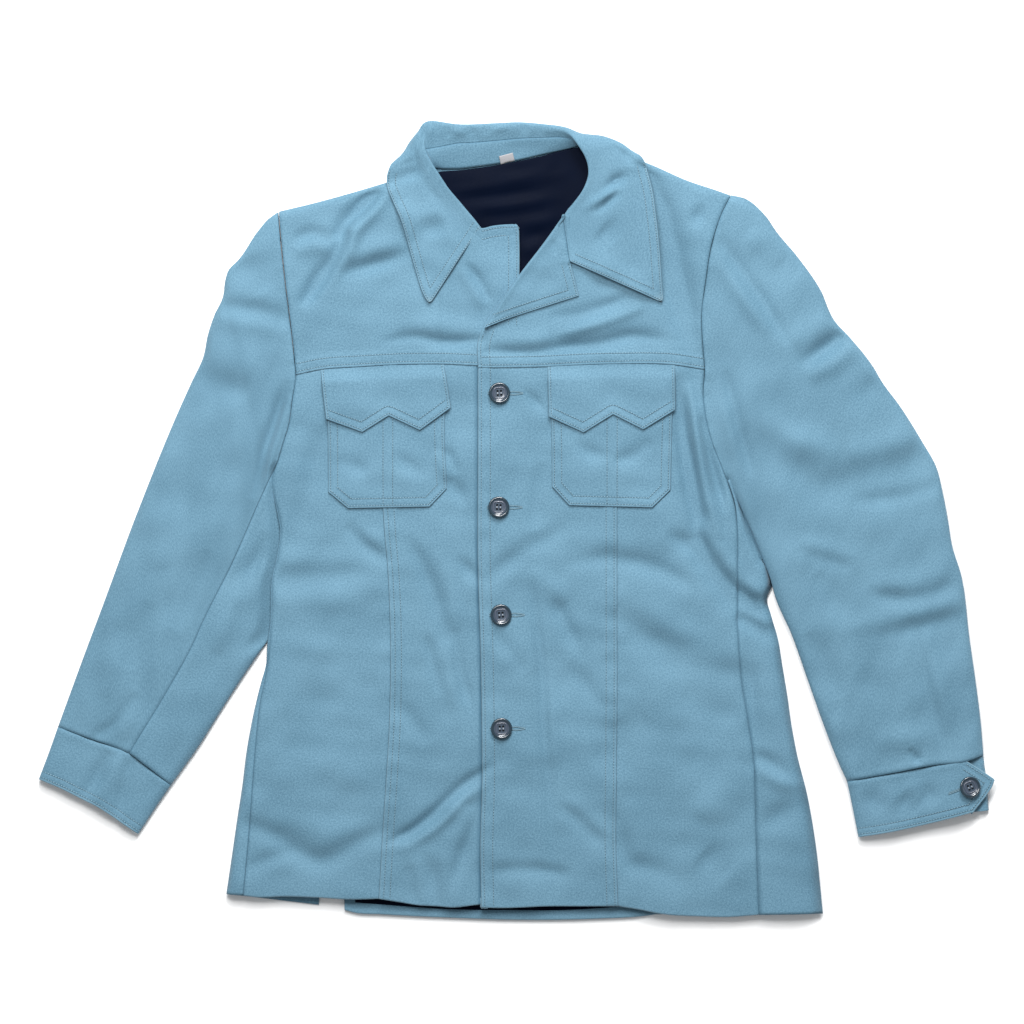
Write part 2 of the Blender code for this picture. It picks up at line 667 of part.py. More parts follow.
def make_front(side, armhole, shoulder, neck, yoke_seam, panel_seam, edge, hem, height, finish):
    """A yoke, and below it a side panel and a centre panel that meet at the panel seam."""
    outline = turned(armhole)
    corner = ARMHOLE_YOKE_ROW + 2
    arm = outline[: corner + 1]
    arm[-1:-1] = [between(arm[-2], arm[-1], part) for part in YOKE_STEPS]
    arm[3:3] = [between(arm[2], arm[3], 0.5)]
    yoke = patch(spaced(shoulder, len(yoke_seam)), yoke_seam, arm, turned(neck, last=False))
    cloth(f"yoke_{side}", pulled_in(raised(yoke, height), top=FOLD_GAP, right=SIDE_GAP), finish)

    chest = outline[corner:-2]
    seam = column(f"panel_{side[0]}")
    side_edge = chest + column(f"side_{side[0]}") + [hem[0]]
    panel = [yoke_seam[panel_seam]] + upright(seam[0].x, chest[1:]) + seam + [hem[panel_seam]]
    opening = [yoke_seam[-1]] + upright(edge[0].x, chest[1:]) + edge + [hem[-1]]
    rows = patch(yoke_seam[: panel_seam + 1], hem[: panel_seam + 1], side_edge, panel)
    cloth(f"front_side_{side}", pulled_in(raised(rows, height), left=SIDE_GAP, bottom=0), finish)
    rows = patch(yoke_seam[panel_seam:], hem[panel_seam:], panel, opening)
    cloth(f"front_centre_{side}", pulled_in(raised(rows, height), right=0, bottom=0), finish)


def make_lapel(finish):
    """The right front turned back at the roll line, from its fold to its free edge."""
    columns = len(LAPEL_OUTER)
    top = spaced([LAPEL_ROLL[0], LAPEL_OUTER[0]], columns)
    rows = patch(top, LAPEL_LOWER, LAPEL_ROLL, LAPEL_OUTER)
    lying = raised(rows, lambda x, y: UPPER)
    lying = laid_on(lying, [bpy.data.objects["yoke_right"]])
    for row in lying:
        row[0].z += LAPEL_ROLL_RISE
        row[1].z += LAPEL_NEAR_RISE
    cloth("lapel_right", lying, finish)


def make_patch(name, top, bottom, below, finish):
    """A pocket or flap, laid on the pieces below it."""
    left = spaced([top[0], bottom[0]], PATCH_ROWS)
    right = spaced([top[-1], bottom[-1]], PATCH_ROWS)
    rows = raised(patch(top, bottom, left, right), lambda x, y: UPPER)
    cloth(name, laid_on(rows, [bpy.data.objects[piece] for piece in below]), finish)


# Collar and stand


def collar_point(x, y, z):
    return Vector((x * MM, y * MM, z * MM))


def collar_section(row):
    """From the stand's seam over the roll to the free edge, on the fronts or under the back."""
    neck = collar_point(row.neck_x, row.neck_y, row.neck_z)
    roll = collar_point(row.roll_x, row.roll_y, row.roll_z)
    out = collar_point(row.out_x, row.out_y, row.out_z)
    edge = collar_point(row.edge_x, row.edge_y, row.edge_z)
    under = row.edge_z < LEAF_FLOOR
    turn = out.lerp(edge, UNDER_TURN if under else LEAF_TURN)
    if under:
        turn.z = edge.z
    crown = roll.lerp(out, CROWN_TURN)
    crown.z += CROWN_RISE * abs(roll.z - out.z)
    return neck.lerp(roll, STAND_SHARE), roll, crown, out, turn, turn.lerp(edge, 0.5), edge


def make_stand(finish):
    rows = [[], []]
    for row in COLLAR:
        neck = collar_point(row.neck_x, row.neck_y, row.neck_z)
        roll = collar_point(row.roll_x, row.roll_y, row.roll_z)
        rows[0].append(neck)
        rows[1].append(neck.lerp(roll, STAND_SHARE))
    cloth("collar_stand", pulled_in(rows, top=0, bottom=FOLD_GAP, left=0, right=0), finish)


def make_collar(finish):
    columns = [collar_section(row) for row in COLLAR]
    below = [bpy.data.objects[name] for name in ("yoke_left", "yoke_right", "lapel_right")]
    flat = [points for points, row in zip(columns, COLLAR) if row.edge_z < LEAF_FLOOR]
    first, last = columns.index(flat[0]), columns.index(flat[-1])
    left, right = columns[:first], columns[last + 1 :]
    outer = [laid_on([list(c[2:]) for c in leaf], below[:2]) for leaf in (left, right)]
    laid = [list(c[:2]) + o for c, o in zip(left, outer[0])]
    laid += [list(points) for points in flat]
    laid += [list(c[:2]) + o for c, o in zip(right, outer[1])]
    cloth("collar", pulled_in(laid, top=0, bottom=0, right=0), finish)


def make_label(finish):
    """A folded stub, sewn flat on the stand above the neck seam."""
    rows = raised([[Place(x, y) for x in LABEL_X] for y in LABEL_Y], lambda x, y: LOWER)
    below = [bpy.data.objects[name] for name in ("collar_stand", "back_lining", "back_centre")]
    cloth("label", laid_on(rows, below, LABEL), finish, LABEL)


# Buttons


def make_button(name, place, carrier, finish):
    """A turned button with a raised rim and four thread holes."""
    bpy.context.view_layer.update()
    graph = bpy.context.evaluated_depsgraph_get()
    tree = BVHTree.FromObject(bpy.data.objects[carrier], graph)
    radius = BUTTON_DIAMETER / 2
    tops = []
    for step in range(BUTTON_SIDES):
        angle = math.tau * step / BUTTON_SIDES
        for reach in (0.0, 0.5 * radius, radius):
            x, y = place.x * MM + reach * math.cos(angle), place.y * MM + reach * math.sin(angle)
            hit = tree.ray_cast(Vector((x, y, 1.0)), Vector((0, 0, -1)))[0]
            if hit:
                tops.append(hit.z)
    mesh = bmesh.new()
    corners = [mesh.verts.new((across * radius, 0, up * BUTTON_THICKNESS)) for across, up in BUTTON_PROFILE]
    rim = [mesh.edges.new(pair) for pair in zip(corners, corners[1:])]
    bmesh.ops.spin(
        mesh, geom=corners + rim, axis=(0, 0, 1), cent=(0, 0, 0), angle=math.tau, steps=BUTTON_SIDES,
        use_merge=True,
    )
    bmesh.ops.remove_doubles(mesh, verts=mesh.verts, dist=0.01 * MM)
    bmesh.ops.recalc_face_normals(mesh, faces=mesh.faces)
    data = bpy.data.meshes.new(name)
    mesh.to_mesh(data)
    mesh.free()
    made = bpy.data.objects.new(name, data)
    bpy.context.collection.objects.link(made)
    data.materials.append(finish)
    made.location = (place.x * MM, place.y * MM, max(tops) + SEAM_GAP)
    data.shade_smooth()
    data.set_sharp_from_angle(angle=RIM_ANGLE)
    cut = made.modifiers.new("Thread holes", "BOOLEAN")
    cut.object = thread_holes(name, made.location)
    return made


def thread_holes(name, place):
    """Four pins that cut a button's holes."""
    mesh = bmesh.new()
    for x in (-1, 1):
        for y in (-1, 1):
            pin = bmesh.ops.create_cone(
                mesh, cap_ends=True, segments=8, radius1=THREAD_HOLE / 2, radius2=THREAD_HOLE / 2,
                depth=4 * BUTTON_THICKNESS,
            )
            shift = Vector((x, y, 0)) * THREAD_SPACING / 2
            bmesh.ops.translate(mesh, vec=shift, verts=pin["verts"])
    data = bpy.data.meshes.new(f"{name}_pins")
    mesh.to_mesh(data)
    mesh.free()
    pins = bpy.data.objects.new(f"{name}_pins", data)
    bpy.context.collection.objects.link(pins)
    pins.location = place
    pins.hide_render = True
    pins.display_type = "WIRE"
    return pins


def centre_on_floor():
    """Puts the frame's origin under the middle of the whole jacket, on the surface."""
    bpy.context.view_layer.update()
    graph = bpy.context.evaluated_depsgraph_get()
    corners = []
    for piece in bpy.data.objects:
        if not piece.hide_render:
            mesh = piece.evaluated_get(graph).to_mesh()
            corners += [piece.matrix_world @ vert.co for vert in mesh.vertices]
    low = [min(corner[k] for corner in corners) for k in range(3)]
    high = [max(corner[k] for corner in corners) for k in range(3)]
    shift = Vector(((low[0] + high[0]) / 2, (low[1] + high[1]) / 2, low[2]))
    for piece in bpy.data.objects:
        piece.location -= shift


for old in list(bpy.data.objects):
    bpy.data.objects.remove(old)

FACE = material("face_cloth", linear(121, 166, 190), 0.85)
SATIN = material("lining_satin", linear(24, 32, 56), 0.4)
PLASTIC = material("button_plastic", linear(74, 96, 118), 0.25)
TAPE = material("label_tape", linear(212, 212, 214), 0.7)

make_back(FACE)
make_side_back(
    "left", ARMHOLE_L, column("outline_l"), column("side_l"), column("vent_l"), HEM_SIDE_L, FACE
)
make_side_back(
    "right", ARMHOLE_R, column("outline_r"), column("side_r"), column("back_r"), HEM_SIDE_R, FACE
)
make_lining(SATIN)
make_front(
    "left", ARMHOLE_L, SHOULDER_L, NECK_FRONT_L, YOKE_SEAM_L, PANEL_SEAM_L,
    upright(UNDERLAP_X, column("front")), HEM_FRONT_L, upper(BODY_EDGES, FRONT_FOLDS), FACE,
)
make_front(
    "right", ARMHOLE_R, SHOULDER_R, NECK_FRONT_R, YOKE_SEAM_R, PANEL_SEAM_R,
    column("front"), HEM_FRONT_R, right_front, FACE,
)
make_lapel(FACE)
PANELS_L = ["front_centre_left", "front_side_left"]
PANELS_R = ["front_centre_right", "front_side_right"]
make_patch("pocket_left", POCKET_L_TOP, POCKET_L_BOTTOM, PANELS_L, FACE)
make_patch("pocket_right", POCKET_R_TOP, POCKET_R_BOTTOM, PANELS_R, FACE)
make_patch("flap_left", FLAP_L_TOP, FLAP_L_BOTTOM, PANELS_L + ["pocket_left"], FACE)
make_patch("flap_right", FLAP_R_TOP, FLAP_R_BOTTOM, PANELS_R + ["pocket_right"], FACE)
sleeve("left", SLEEVE_L, ARMHOLE_L, CUFF_SEAM_L, SLEEVE_EDGES_L, True, FACE)
sleeve("right", SLEEVE_R, ARMHOLE_R, CUFF_SEAM_R, SLEEVE_EDGES_R, False, FACE)
closed_cuff("cuff_left", CUFF_SEAM_L, CUFF_HEM_L, SLEEVE_EDGES_L, len(ARMHOLE_L), FACE)
tabbed_cuff("cuff_right", CUFF_SEAM_R, CUFF_HEM_R, CUFF_TAB, SLEEVE_EDGES_R, len(ARMHOLE_R), FACE)
make_stand(FACE)
make_collar(FACE)
make_label(TAPE)
for button, (spot, held) in BUTTONS.items():
    make_button(button, spot, held, PLASTIC)
centre_on_floor()
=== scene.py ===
"""A light blue leisure suit jacket, laid flat on its back with the front buttoned."""

import math
from collections import namedtuple

import bmesh
import bpy
import numpy as np
from mathutils import Matrix, Vector
from mathutils.bvhtree import BVHTree


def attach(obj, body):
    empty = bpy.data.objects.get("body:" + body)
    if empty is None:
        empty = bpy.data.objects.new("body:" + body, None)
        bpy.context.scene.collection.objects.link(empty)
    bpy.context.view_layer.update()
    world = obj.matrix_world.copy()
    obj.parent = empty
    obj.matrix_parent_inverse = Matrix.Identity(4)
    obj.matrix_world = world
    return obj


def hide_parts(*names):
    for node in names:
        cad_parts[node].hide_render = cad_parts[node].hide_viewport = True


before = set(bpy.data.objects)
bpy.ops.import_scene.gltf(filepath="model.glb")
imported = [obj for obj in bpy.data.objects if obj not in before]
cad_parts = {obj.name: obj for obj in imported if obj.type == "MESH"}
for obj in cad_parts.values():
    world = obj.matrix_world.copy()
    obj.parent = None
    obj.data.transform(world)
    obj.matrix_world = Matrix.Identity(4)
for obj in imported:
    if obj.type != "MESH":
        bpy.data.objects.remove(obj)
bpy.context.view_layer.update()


def as_mesh(shape, name):
    """A worked shape as a mesh of its own."""
    mesh = bpy.data.meshes.new(name)
    shape.to_mesh(mesh)
    shape.free()
    return mesh


def shown(name, data):
    """An object in the scene for a mesh, light or camera."""
    made = bpy.data.objects.new(name, data)
    bpy.context.collection.objects.link(made)
    return made


# ------------------------------------------------------------------ table, light and camera
# The jacket lies on a plain pale table top under wide, soft studio light, most of it from beyond
# the collar. The camera looks straight down, far enough off to see the jacket flat.

TABLE_HALF = 4
TABLE_LEVEL = -0.0002

table = bmesh.new()
bmesh.ops.create_grid(table, x_segments=1, y_segments=1, size=TABLE_HALF)
bmesh.ops.translate(table, vec=(0, 0, TABLE_LEVEL), verts=table.verts)
table_top = shown("table_top", as_mesh(table, "table_top"))

studio = bpy.data.worlds.new("studio")
bpy.context.scene.world = studio
studio.use_nodes = True
sky = studio.node_tree.nodes["Background"].inputs
sky["Color"].default_value = (0.97, 0.985, 1.0, 1)
sky["Strength"].default_value = 0.42

for name, place, size, power in (
    ("key_light", (-0.26, 0.80, 1.60), 0.72, 28),
    ("fill_light", (0.5, 3.5, 2.7), 1.6, 218),
):
    lamp = bpy.data.lights.new(name, "AREA")
    lamp.size = size
    lamp.energy = power
    lamp_object = shown(name, lamp)
    lamp_object.location = place
    lamp_object.rotation_euler = (-Vector(place)).to_track_quat("-Z", "Y").to_euler()

lens = bpy.data.cameras.new("camera")
lens.sensor_width = 36
lens.lens = 189
lens.clip_end = 20
camera = shown("camera", lens)
camera.location = (-0.0044, 0.0072, 5.006)
bpy.context.scene.camera = camera
bpy.context.scene.view_settings.view_transform = "Standard"


# ------------------------------------------------------------------ back
# A centre back panel and two side-backs of woven polyester twill. The side-backs wrap round the
# side folds to the side seams, and stand apart from the centre back at the vents above the hem.

MM = 0.001
# From the plan's middle to the middle of the jacket's outline, in mm
SHIFT = np.array((-0.148, 0.677, 0.0))
# Height of the lowest cloth's face where it lies on the table, in mm
ON_TABLE = 0.6
# A distance at which an edge or seam is no longer felt
FAR = 99.0
SURFACES = {}


class Value:
    """One socket of a finish, so that sums on it read as sums."""

    def __init__(self, finish, socket):
        self.finish = finish
        self.socket = socket

    def maths(self, operation, *values):
        return self.finish.node("ShaderNodeMath", {"operation": operation}, dict(enumerate(values)))

    def __add__(self, other):
        return self.maths("ADD", self, other)

    def __sub__(self, other):
        return self.maths("SUBTRACT", self, other)

    def __rsub__(self, other):
        return self.maths("SUBTRACT", other, self)

    def __mul__(self, other):
        return self.maths("MULTIPLY", self, other)

    __radd__ = __add__
    __rmul__ = __mul__

    def wave(self):
        return self.maths("SINE", self)

    def between(self, low, high):
        """0 at low and 1 at high, eased at both."""
        return self.finish.node(
            "ShaderNodeMapRange", {"interpolation_type": "SMOOTHSTEP"},
            {"Value": self, "From Min": low, "From Max": high},
        )


class Finish:
    """A material, and the nodes that make its colour, gloss and relief."""

    def __init__(self, name):
        self.material = bpy.data.materials.new(name)
        self.material.use_nodes = True
        self.tree = self.material.node_tree
        self.shader = self.tree.nodes["Principled BSDF"]

    def node(self, kind, settings=None, inputs=None, output=0):
        """A new node with its settings and inputs, as the value of one of its outputs."""
        made = self.tree.nodes.new(kind)
        for name, value in (settings or {}).items():
            setattr(made, name, value)
        for name, value in (inputs or {}).items():
            self.feed(made.inputs[name], value)
        return Value(self, made.outputs[output])

    def feed(self, socket, value):
        """Links a value to a socket, or sets a plain number or colour on it."""
        if isinstance(value, Value):
            self.tree.links.new(value.socket, socket)
        else:
            socket.default_value = value

    def set(self, **inputs):
        """Feeds the material's own inputs, each named with _ for a space."""
        for name, value in inputs.items():
            self.feed(self.shader.inputs[name.replace("_", " ")], value)

    def cloth_place(self):
        """Where each point lies on the flat cloth, in metres."""
        return self.node("ShaderNodeUVMap", {"uv_map": "cloth"})

    def body_place(self):
        """Where each point lies in its own object."""
        return self.node("ShaderNodeTexCoord", output=3)

    def attribute(self, name):
        """A number that the mesh carries at each of its points."""
        return self.node("ShaderNodeAttribute", {"attribute_name": name}, output=2)

    def mix(self, factor, first, second):
        """Colours blended by a factor."""
        return self.node(
            "ShaderNodeMix", {"data_type": "RGBA"}, {0: factor, 6: first, 7: second}, output=2
        )

    def noise(self, place, scale, detail=2.0):
        return self.node(
            "ShaderNodeTexNoise", {}, {"Vector": place, "Scale": scale, "Detail": detail}
        )

    def relief(self, height, depth):
        """Bump that stands a height out by so many metres."""
        return self.node("ShaderNodeBump", {}, {"Height": height, "Distance": depth, "Strength": 1.0})


def twill(name):
    """Polyester twill: fine diagonal ribs, a little slub; paler on edges from wear and painted highlight,
    darker in seams from dirt and painted shade.
    """
    lit, deep = (0.131, 0.257, 0.347, 1), (0.067, 0.156, 0.222, 1)
    rib_pitch = 0.00066
    finish = Finish(name)
    run = finish.cloth_place()
    across = finish.node("ShaderNodeSeparateXYZ", {}, {"Vector": run})
    along = Value(finish, across.socket.node.outputs["Y"])
    slub = finish.noise(run, 620.0, 3.0)
    grain = finish.noise(run, 1500.0, 1.0)
    fade = finish.noise(run, 14.0, 3.0)
    ribs = ((across * 0.84 + along * 0.54) * (math.tau / rib_pitch) + slub * 2.4).wave()
    tone = slub * 1.5 + grain * 1.3 + fade * 0.7 + ribs * 0.04 - 1.25
    cloth = finish.mix(tone.between(0.0, 1.0), deep, lit)
    # Paler towards its edges: partly wear, partly a painted highlight where light catches the edge.
    paled = finish.mix(finish.attribute("wear_and_highlight"), cloth, (0.205, 0.315, 0.375, 1))
    # Darker in seams and beside lapped edges: painted shade, with some dirt in the seams.
    shade_and_dirt = finish.mix(finish.attribute("shade_and_dirt"), paled, (0.042, 0.115, 0.175, 1))
    rise = ribs * 0.16 + slub * 1.1 + grain * 0.8
    finish.set(
        Base_Color=shade_and_dirt, Roughness=0.64 + fade * 0.12, Specular_IOR_Level=0.28, Sheen_Weight=0.12,
        Sheen_Roughness=0.45, Normal=finish.relief(rise, 0.00016),
    )
    finish.shader.inputs["Sheen Tint"].default_value = (0.8, 0.9, 1.0, 1)
    return finish


face_cloth = twill("blue_twill")

def flecked(name, scale, first, second, detail=2.0, **inputs):
    """A plain material whose colour goes between two in fine flecks."""
    finish = Finish(name)
    flecks = finish.noise(finish.body_place(), scale, detail)
    finish.set(Base_Color=finish.mix(flecks, first, second), **inputs)
    return finish


table_top.data.materials.append(flecked(
    "table_white", 90.0, (0.90, 0.90, 0.90, 1), (0.93, 0.93, 0.93, 1), 4.0, Roughness=0.8,
    Specular_IOR_Level=0.1,
).material)


def run_of(line):
    """Distance along a line at each of its places."""
    return np.r_[0, np.linalg.norm(np.diff(line, axis=0), axis=1).cumsum()]


def curve(places, by=None, sharp=False, count=500):
    """A seam line through its places, smooth or cornered, even by length or along one axis."""
    places = np.asarray(places, float)
    run = run_of(places)
    step = np.diff(run)[:, None]
    slope = np.diff(places, axis=0) / step
    middle = (slope[:-1] * step[1:] + slope[1:] * step[:-1]) / (step[:-1] + step[1:])
    lean = np.vstack([slope[:1], middle, slope[-1:]])
    at_run = np.unique(np.r_[np.linspace(0, run[-1], count * 2), run])
    k = np.clip(np.searchsorted(run, at_run, side="right") - 1, 0, len(step) - 1)
    u = (at_run - run[k])[:, None] / step[k]
    straight = places[k] * (1 - u) + places[k + 1] * u
    bend = (u * (1 - u)) * step[k] * ((lean[k] - slope[k]) * (1 - u) - (lean[k + 1] - slope[k]) * u)
    line = straight if sharp else straight + bend
    if by is None:
        measure = run_of(line)
    else:
        measure = np.maximum.accumulate(line[:, by] * np.sign(line[-1, by] - line[0, by]))
    even = np.linspace(measure[0], measure[-1], count)
    return np.column_stack([np.interp(even, measure, axis) for axis in line.T])


def at(line, share):
    """Places on a line at shares of it."""
    place = np.clip(share, 0, 1) * (len(line) - 1)
    low = np.minimum(place.astype(int), len(line) - 2)
    part = (place - low)[..., None]
    return line[low] * (1 - part) + line[low + 1] * part


def spread(lengths, first, last, cell):
    """Shares of each length: set distances from both of its ends, even cells between them."""
    first, last = np.array(first, float), np.array(last, float)
    count = max(int(round((lengths.max() - first[-1] - last[-1]) / cell)), 2)
    room = np.minimum(1, 0.46 * lengths / max(first[-1], last[-1], 0.1))[:, None]
    start = first * room / lengths[:, None]
    end = 1 - last[::-1] * room / lengths[:, None]
    middle = start[:, -1:] + (end[:, :1] - start[:, -1:]) * np.arange(1, count) / count
    return np.hstack([start, middle, end])


Cut = namedtuple("Cut", "place left right top bottom")


def panel(top, bottom, left, right, edges, cell=2.7, snap=()):
    """Places over a panel between four lines, with distances from each; below 0 is turned under.

    The edges are the set distances of its columns from left and right, then of its rows from top
    and bottom. A snap is a share of the width at which a column has to stand.
    """
    share = np.linspace(0, 1, 240)
    widths = np.linalg.norm(at(left, share) - at(right, share), axis=1)
    heights = np.linalg.norm(at(top, share) - at(bottom, share), axis=1)
    columns = spread(widths, edges[0], edges[1], cell)
    rows = spread(heights, edges[2], edges[3], cell)
    for corner in snap:
        nearest_column = np.abs(columns.mean(0) - corner).argmin()
        columns[:, nearest_column] = corner
    s_middle, t_middle = columns.mean(0), rows.mean(0)
    s = np.column_stack([np.interp(t_middle, share, column) for column in columns.T])
    t = np.array([np.interp(s_middle, share, row) for row in rows.T])
    inner_s = np.where(s < 0, -s, np.where(s > 1, 2 - s, s))
    inner_t = np.where(t < 0, -t, np.where(t > 1, 2 - t, t))
    a, b = inner_s[..., None], inner_t[..., None]
    edge = (1 - b) * at(top, inner_s) + b * at(bottom, inner_s)
    edge += (1 - a) * at(left, inner_t) + a * at(right, inner_t)
    corners = (1 - b) * ((1 - a) * top[0] + a * top[-1]) + b * ((1 - a) * bottom[0] + a * bottom[-1])
    wide = np.interp(t_middle, share, widths)[:, None]
    high = np.interp(s_middle, share, heights)[None, :]
    return Cut(edge - corners, s * wide, (1 - s) * wide, t * high, (1 - t) * high)


def nearest(place, line, every=8):
    """Distance of each place from a line, and the share along it where it is nearest."""
    line = np.vstack([line[:-1:every], line[-1:]]) if len(line) > 60 else np.asarray(line, float)
    flat = place.reshape(-1, 2)
    start, run = line[:-1], np.diff(line, axis=0)
    length = (run**2).sum(1) + 1e-9
    away = flat[:, None] - start
    share = np.clip((away * run).sum(2) / length, 0, 1)
    gap = ((away - share[..., None] * run) ** 2).sum(2)
    best = gap.argmin(1)
    row = np.arange(len(flat))
    along = (best + share[row, best]) / len(run)
    return np.sqrt(gap[row, best]).reshape(place.shape[:-1]), along.reshape(place.shape[:-1])


def ramp(value, start, end):
    """0 before start, 1 past end, eased at both."""
    share = np.clip((value - start) / (end - start), 0, 1)
    return share * share * (3 - 2 * share)


def near(distance, width=1.0):
    """1 at a line, fading to 0 on both sides of it."""
    return np.exp(-((distance / width) ** 2))


def turned(high, low, distance, radius):
    """Height of cloth that turns over an edge: high inside it, low where it has gone under."""
    full = np.sqrt(1 - (1 - np.clip(np.abs(distance) / radius, 0, 1)) ** 2)
    middle = (high + low) / 2
    return middle + np.where(distance >= 0, high - middle, low - middle) * full


def waves(place, seed, height):
    """Slight unevenness of cloth at rest."""
    chance = np.random.default_rng(seed)
    total = np.zeros(place.shape[:-1])
    for _ in range(22):
        length = chance.uniform(14, 90)
        angle = chance.uniform(0, math.tau)
        start = chance.uniform(0, math.tau)
        run = place[..., 0] * math.cos(angle) + place[..., 1] * math.sin(angle)
        total += (length / 60) ** 0.8 * np.sin(run * math.tau / length + start)
    return total * height / 4


def part_of_jacket(name, mesh, finish):
    """A piece of the jacket, smooth, with its material."""
    mesh.polygons.foreach_set("use_smooth", np.ones(len(mesh.polygons), bool))
    mesh.materials.append(finish.material)
    piece = shown(name, mesh)
    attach(piece, "root")
    return piece


def sew(node, place, height, wear_and_highlight=None, shade_and_dirt=None, thick=1.0, closed=False,
        finish=face_cloth):
    """Makes one piece of cloth from its places and heights."""
    name = node + "_cloth"
    rows = (np.dstack([place, height])[::-1] + SHIFT) * MM
    count, width = rows.shape[:2]
    shape = bmesh.new()
    bmesh.ops.create_grid(shape, x_segments=width - 1, y_segments=count - 1, size=1)
    mesh = as_mesh(shape, name)
    mesh.vertices.foreach_set("co", rows.reshape(-1))
    across = np.linalg.norm(np.diff(rows, axis=1), axis=2)
    along = np.linalg.norm(np.diff(rows, axis=0), axis=2)
    u = np.hstack([np.zeros((count, 1)), across.cumsum(1)])
    v = np.vstack([np.zeros((1, width)), along.cumsum(0)])
    u = u - u[:, width // 2, None]
    v = v - v[count // 2]
    corner = np.empty(len(mesh.loops), int)
    mesh.loops.foreach_get("vertex_index", corner)
    layer = mesh.uv_layers.new(name="cloth")
    layer.data.foreach_set("uv", np.dstack([u, v]).reshape(-1, 2)[corner].reshape(-1))
    # Per point: paler edge colour (wear, painted highlight) and darker seam colour (painted shade, dirt).
    for label, values in (("wear_and_highlight", wear_and_highlight), ("shade_and_dirt", shade_and_dirt)):
        field = mesh.attributes.new(label, "FLOAT", "POINT")
        if values is not None:
            values = np.broadcast_to(np.clip(values, 0, 1)[::-1], (count, width))
            field.data.foreach_set("value", values.reshape(-1).astype("f"))
    if closed:
        seam = bmesh.new()
        seam.from_mesh(mesh)
        bmesh.ops.remove_doubles(seam, verts=seam.verts, dist=1e-6)
        seam.to_mesh(mesh)
        seam.free()
    piece = part_of_jacket(name, mesh, finish)
    SURFACES[node] = BVHTree.FromPolygons(
        [tuple(v.co) for v in mesh.vertices], [tuple(p.vertices) for p in mesh.polygons]
    )
    shell = piece.modifiers.new("thickness", "SOLIDIFY")
    shell.thickness = thick * MM
    shell.offset = -1
    shell.use_even_offset = False
    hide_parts(node)


# Seams and outlines on the plan, in mm. L and R are the left and right of the plan.
SHOULDER_L = [(-221, 286), (-184, 295), (-148, 305), (-121, 313), (-98, 319), (-77, 324)]
SHOULDER_R = [(66, 349), (93, 340), (119, 332), (161, 314), (188, 305), (199, 301)]
ARMHOLE_L = [(-221, 286), (-219, 262), (-214.5, 218.6), (-210, 183), (-206, 145), (-205, 134)]
ARMHOLE_L_LOW = [(-205, 134), (-208, 112.5), (-212, 86), (-217, 70), (-224, 48), (-229, 34)]
ARMHOLE_R = [(199, 301), (190, 283), (182.5, 261), (175.5, 222), (172, 192), (173.4, 159), (175, 139)]
ARMHOLE_R_LOW = [(175, 139), (173.6, 115), (176, 94), (181.7, 71.6), (189, 53), (196, 36)]
OUTLINE_L = [
    (-229, 34), (-222.5, 5), (-220, -10), (-223, -34), (-227.5, -55), (-229.5, -100), (-232, -116),
    (-233, -135), (-238, -153), (-246, -187), (-251, -215), (-255, -247), (-260, -280), (-265, -315),
    (-270, -349),
]
OUTLINE_R = [
    (198, 36), (205, 12), (211.5, -9), (220, -32), (228, -47), (235.5, -62), (231, -76), (236.6, -89),
    (243, -111), (247, -135), (252.4, -168), (255, -187), (261, -219.5), (270, -255), (278, -301),
    (285, -367),
]
SIDE_L = [
    (-228.4, 34), (-222, 5), (-219.4, -10), (-222.4, -34), (-227, -55), (-228.8, -100), (-230.4, -120),
    (-234, -149), (-238, -168), (-243, -215), (-247, -270), (-250, -307), (-254, -350),
]
SIDE_R = [
    (196, 36), (203, 14), (205, -6), (205, -55), (206.4, -120), (209, -149), (215, -187), (220, -222),
    (221.7, -267), (223.3, -323), (225, -368),
]
VENT_L = [(-208, 34), (-204, 5), (-191, -55), (-182, -120), (-176, -178), (-178, -215), (-181, -280),
          (-184, -359)]
BACK_L = VENT_L[:4] + [(-175, -182), (-168, -247), (-162, -315), (-160, -364)]
BACK_R = [(179, 34), (173, 5), (160, -55), (149, -120), (141, -182), (134, -247), (131, -315),
          (130, -368)]
HEM_BACK = [(-160, -364), (-151, -366.5), (-127, -368), (-90, -370), (-66, -371), (-4, -373), (42, -373),
            (78, -372), (115, -370), (130, -368)]
NECK_BACK = [(-77, 324), (-51, 325), (-20, 329), (15, 336), (53, 345), (66, 349)]


def over_collar(place):
    """1 where the collar's fall lies folded under the back of the neck, 0 clear of it."""
    return ramp(place[..., 1], 262, 284) * ramp(-np.abs(place[..., 0] - 3), -150, -128)


back_top = curve(SHOULDER_L[:-1] + NECK_BACK + SHOULDER_R[1:], by=0)
back_left = curve(ARMHOLE_L + [(-208, 112), (-211, 86), (-209, 50)] + BACK_L[1:], by=1)
back_right = curve(ARMHOLE_R + [(173.6, 115), (176, 94), (180, 60)] + BACK_R[1:], by=1)
# Where columns and rows of cloth stand beside its sides and its turned-up hem
back_side = (0, 0.5, 1.5, 4)
back_hem = (-16, -8, -3, -1, -0.4, 0, 0.4, 1, 3, 8, 12, 16)
cut = panel(
    back_top, curve(HEM_BACK, by=0), back_left, back_right, (back_side, back_side, (1.2, 3), back_hem),
    cell=6,
)
lie = 1.15 + 2.3 * over_collar(cut.place)
hem_height = turned(lie + 1.5 * ramp(-np.abs(cut.bottom), -16, -12), 1.0, cut.bottom, 1.2)
lie = np.where(cut.bottom < 6, hem_height, lie)
lie = lie + 1.3 * ramp(-cut.bottom, -30, -8) * (cut.bottom > 0)
# Paler along the hem's fold: wear and a painted highlight.
sew("back_centre", cut.place, lie, wear_and_highlight=0.35 * np.exp(-np.abs(cut.bottom) / 1.2))


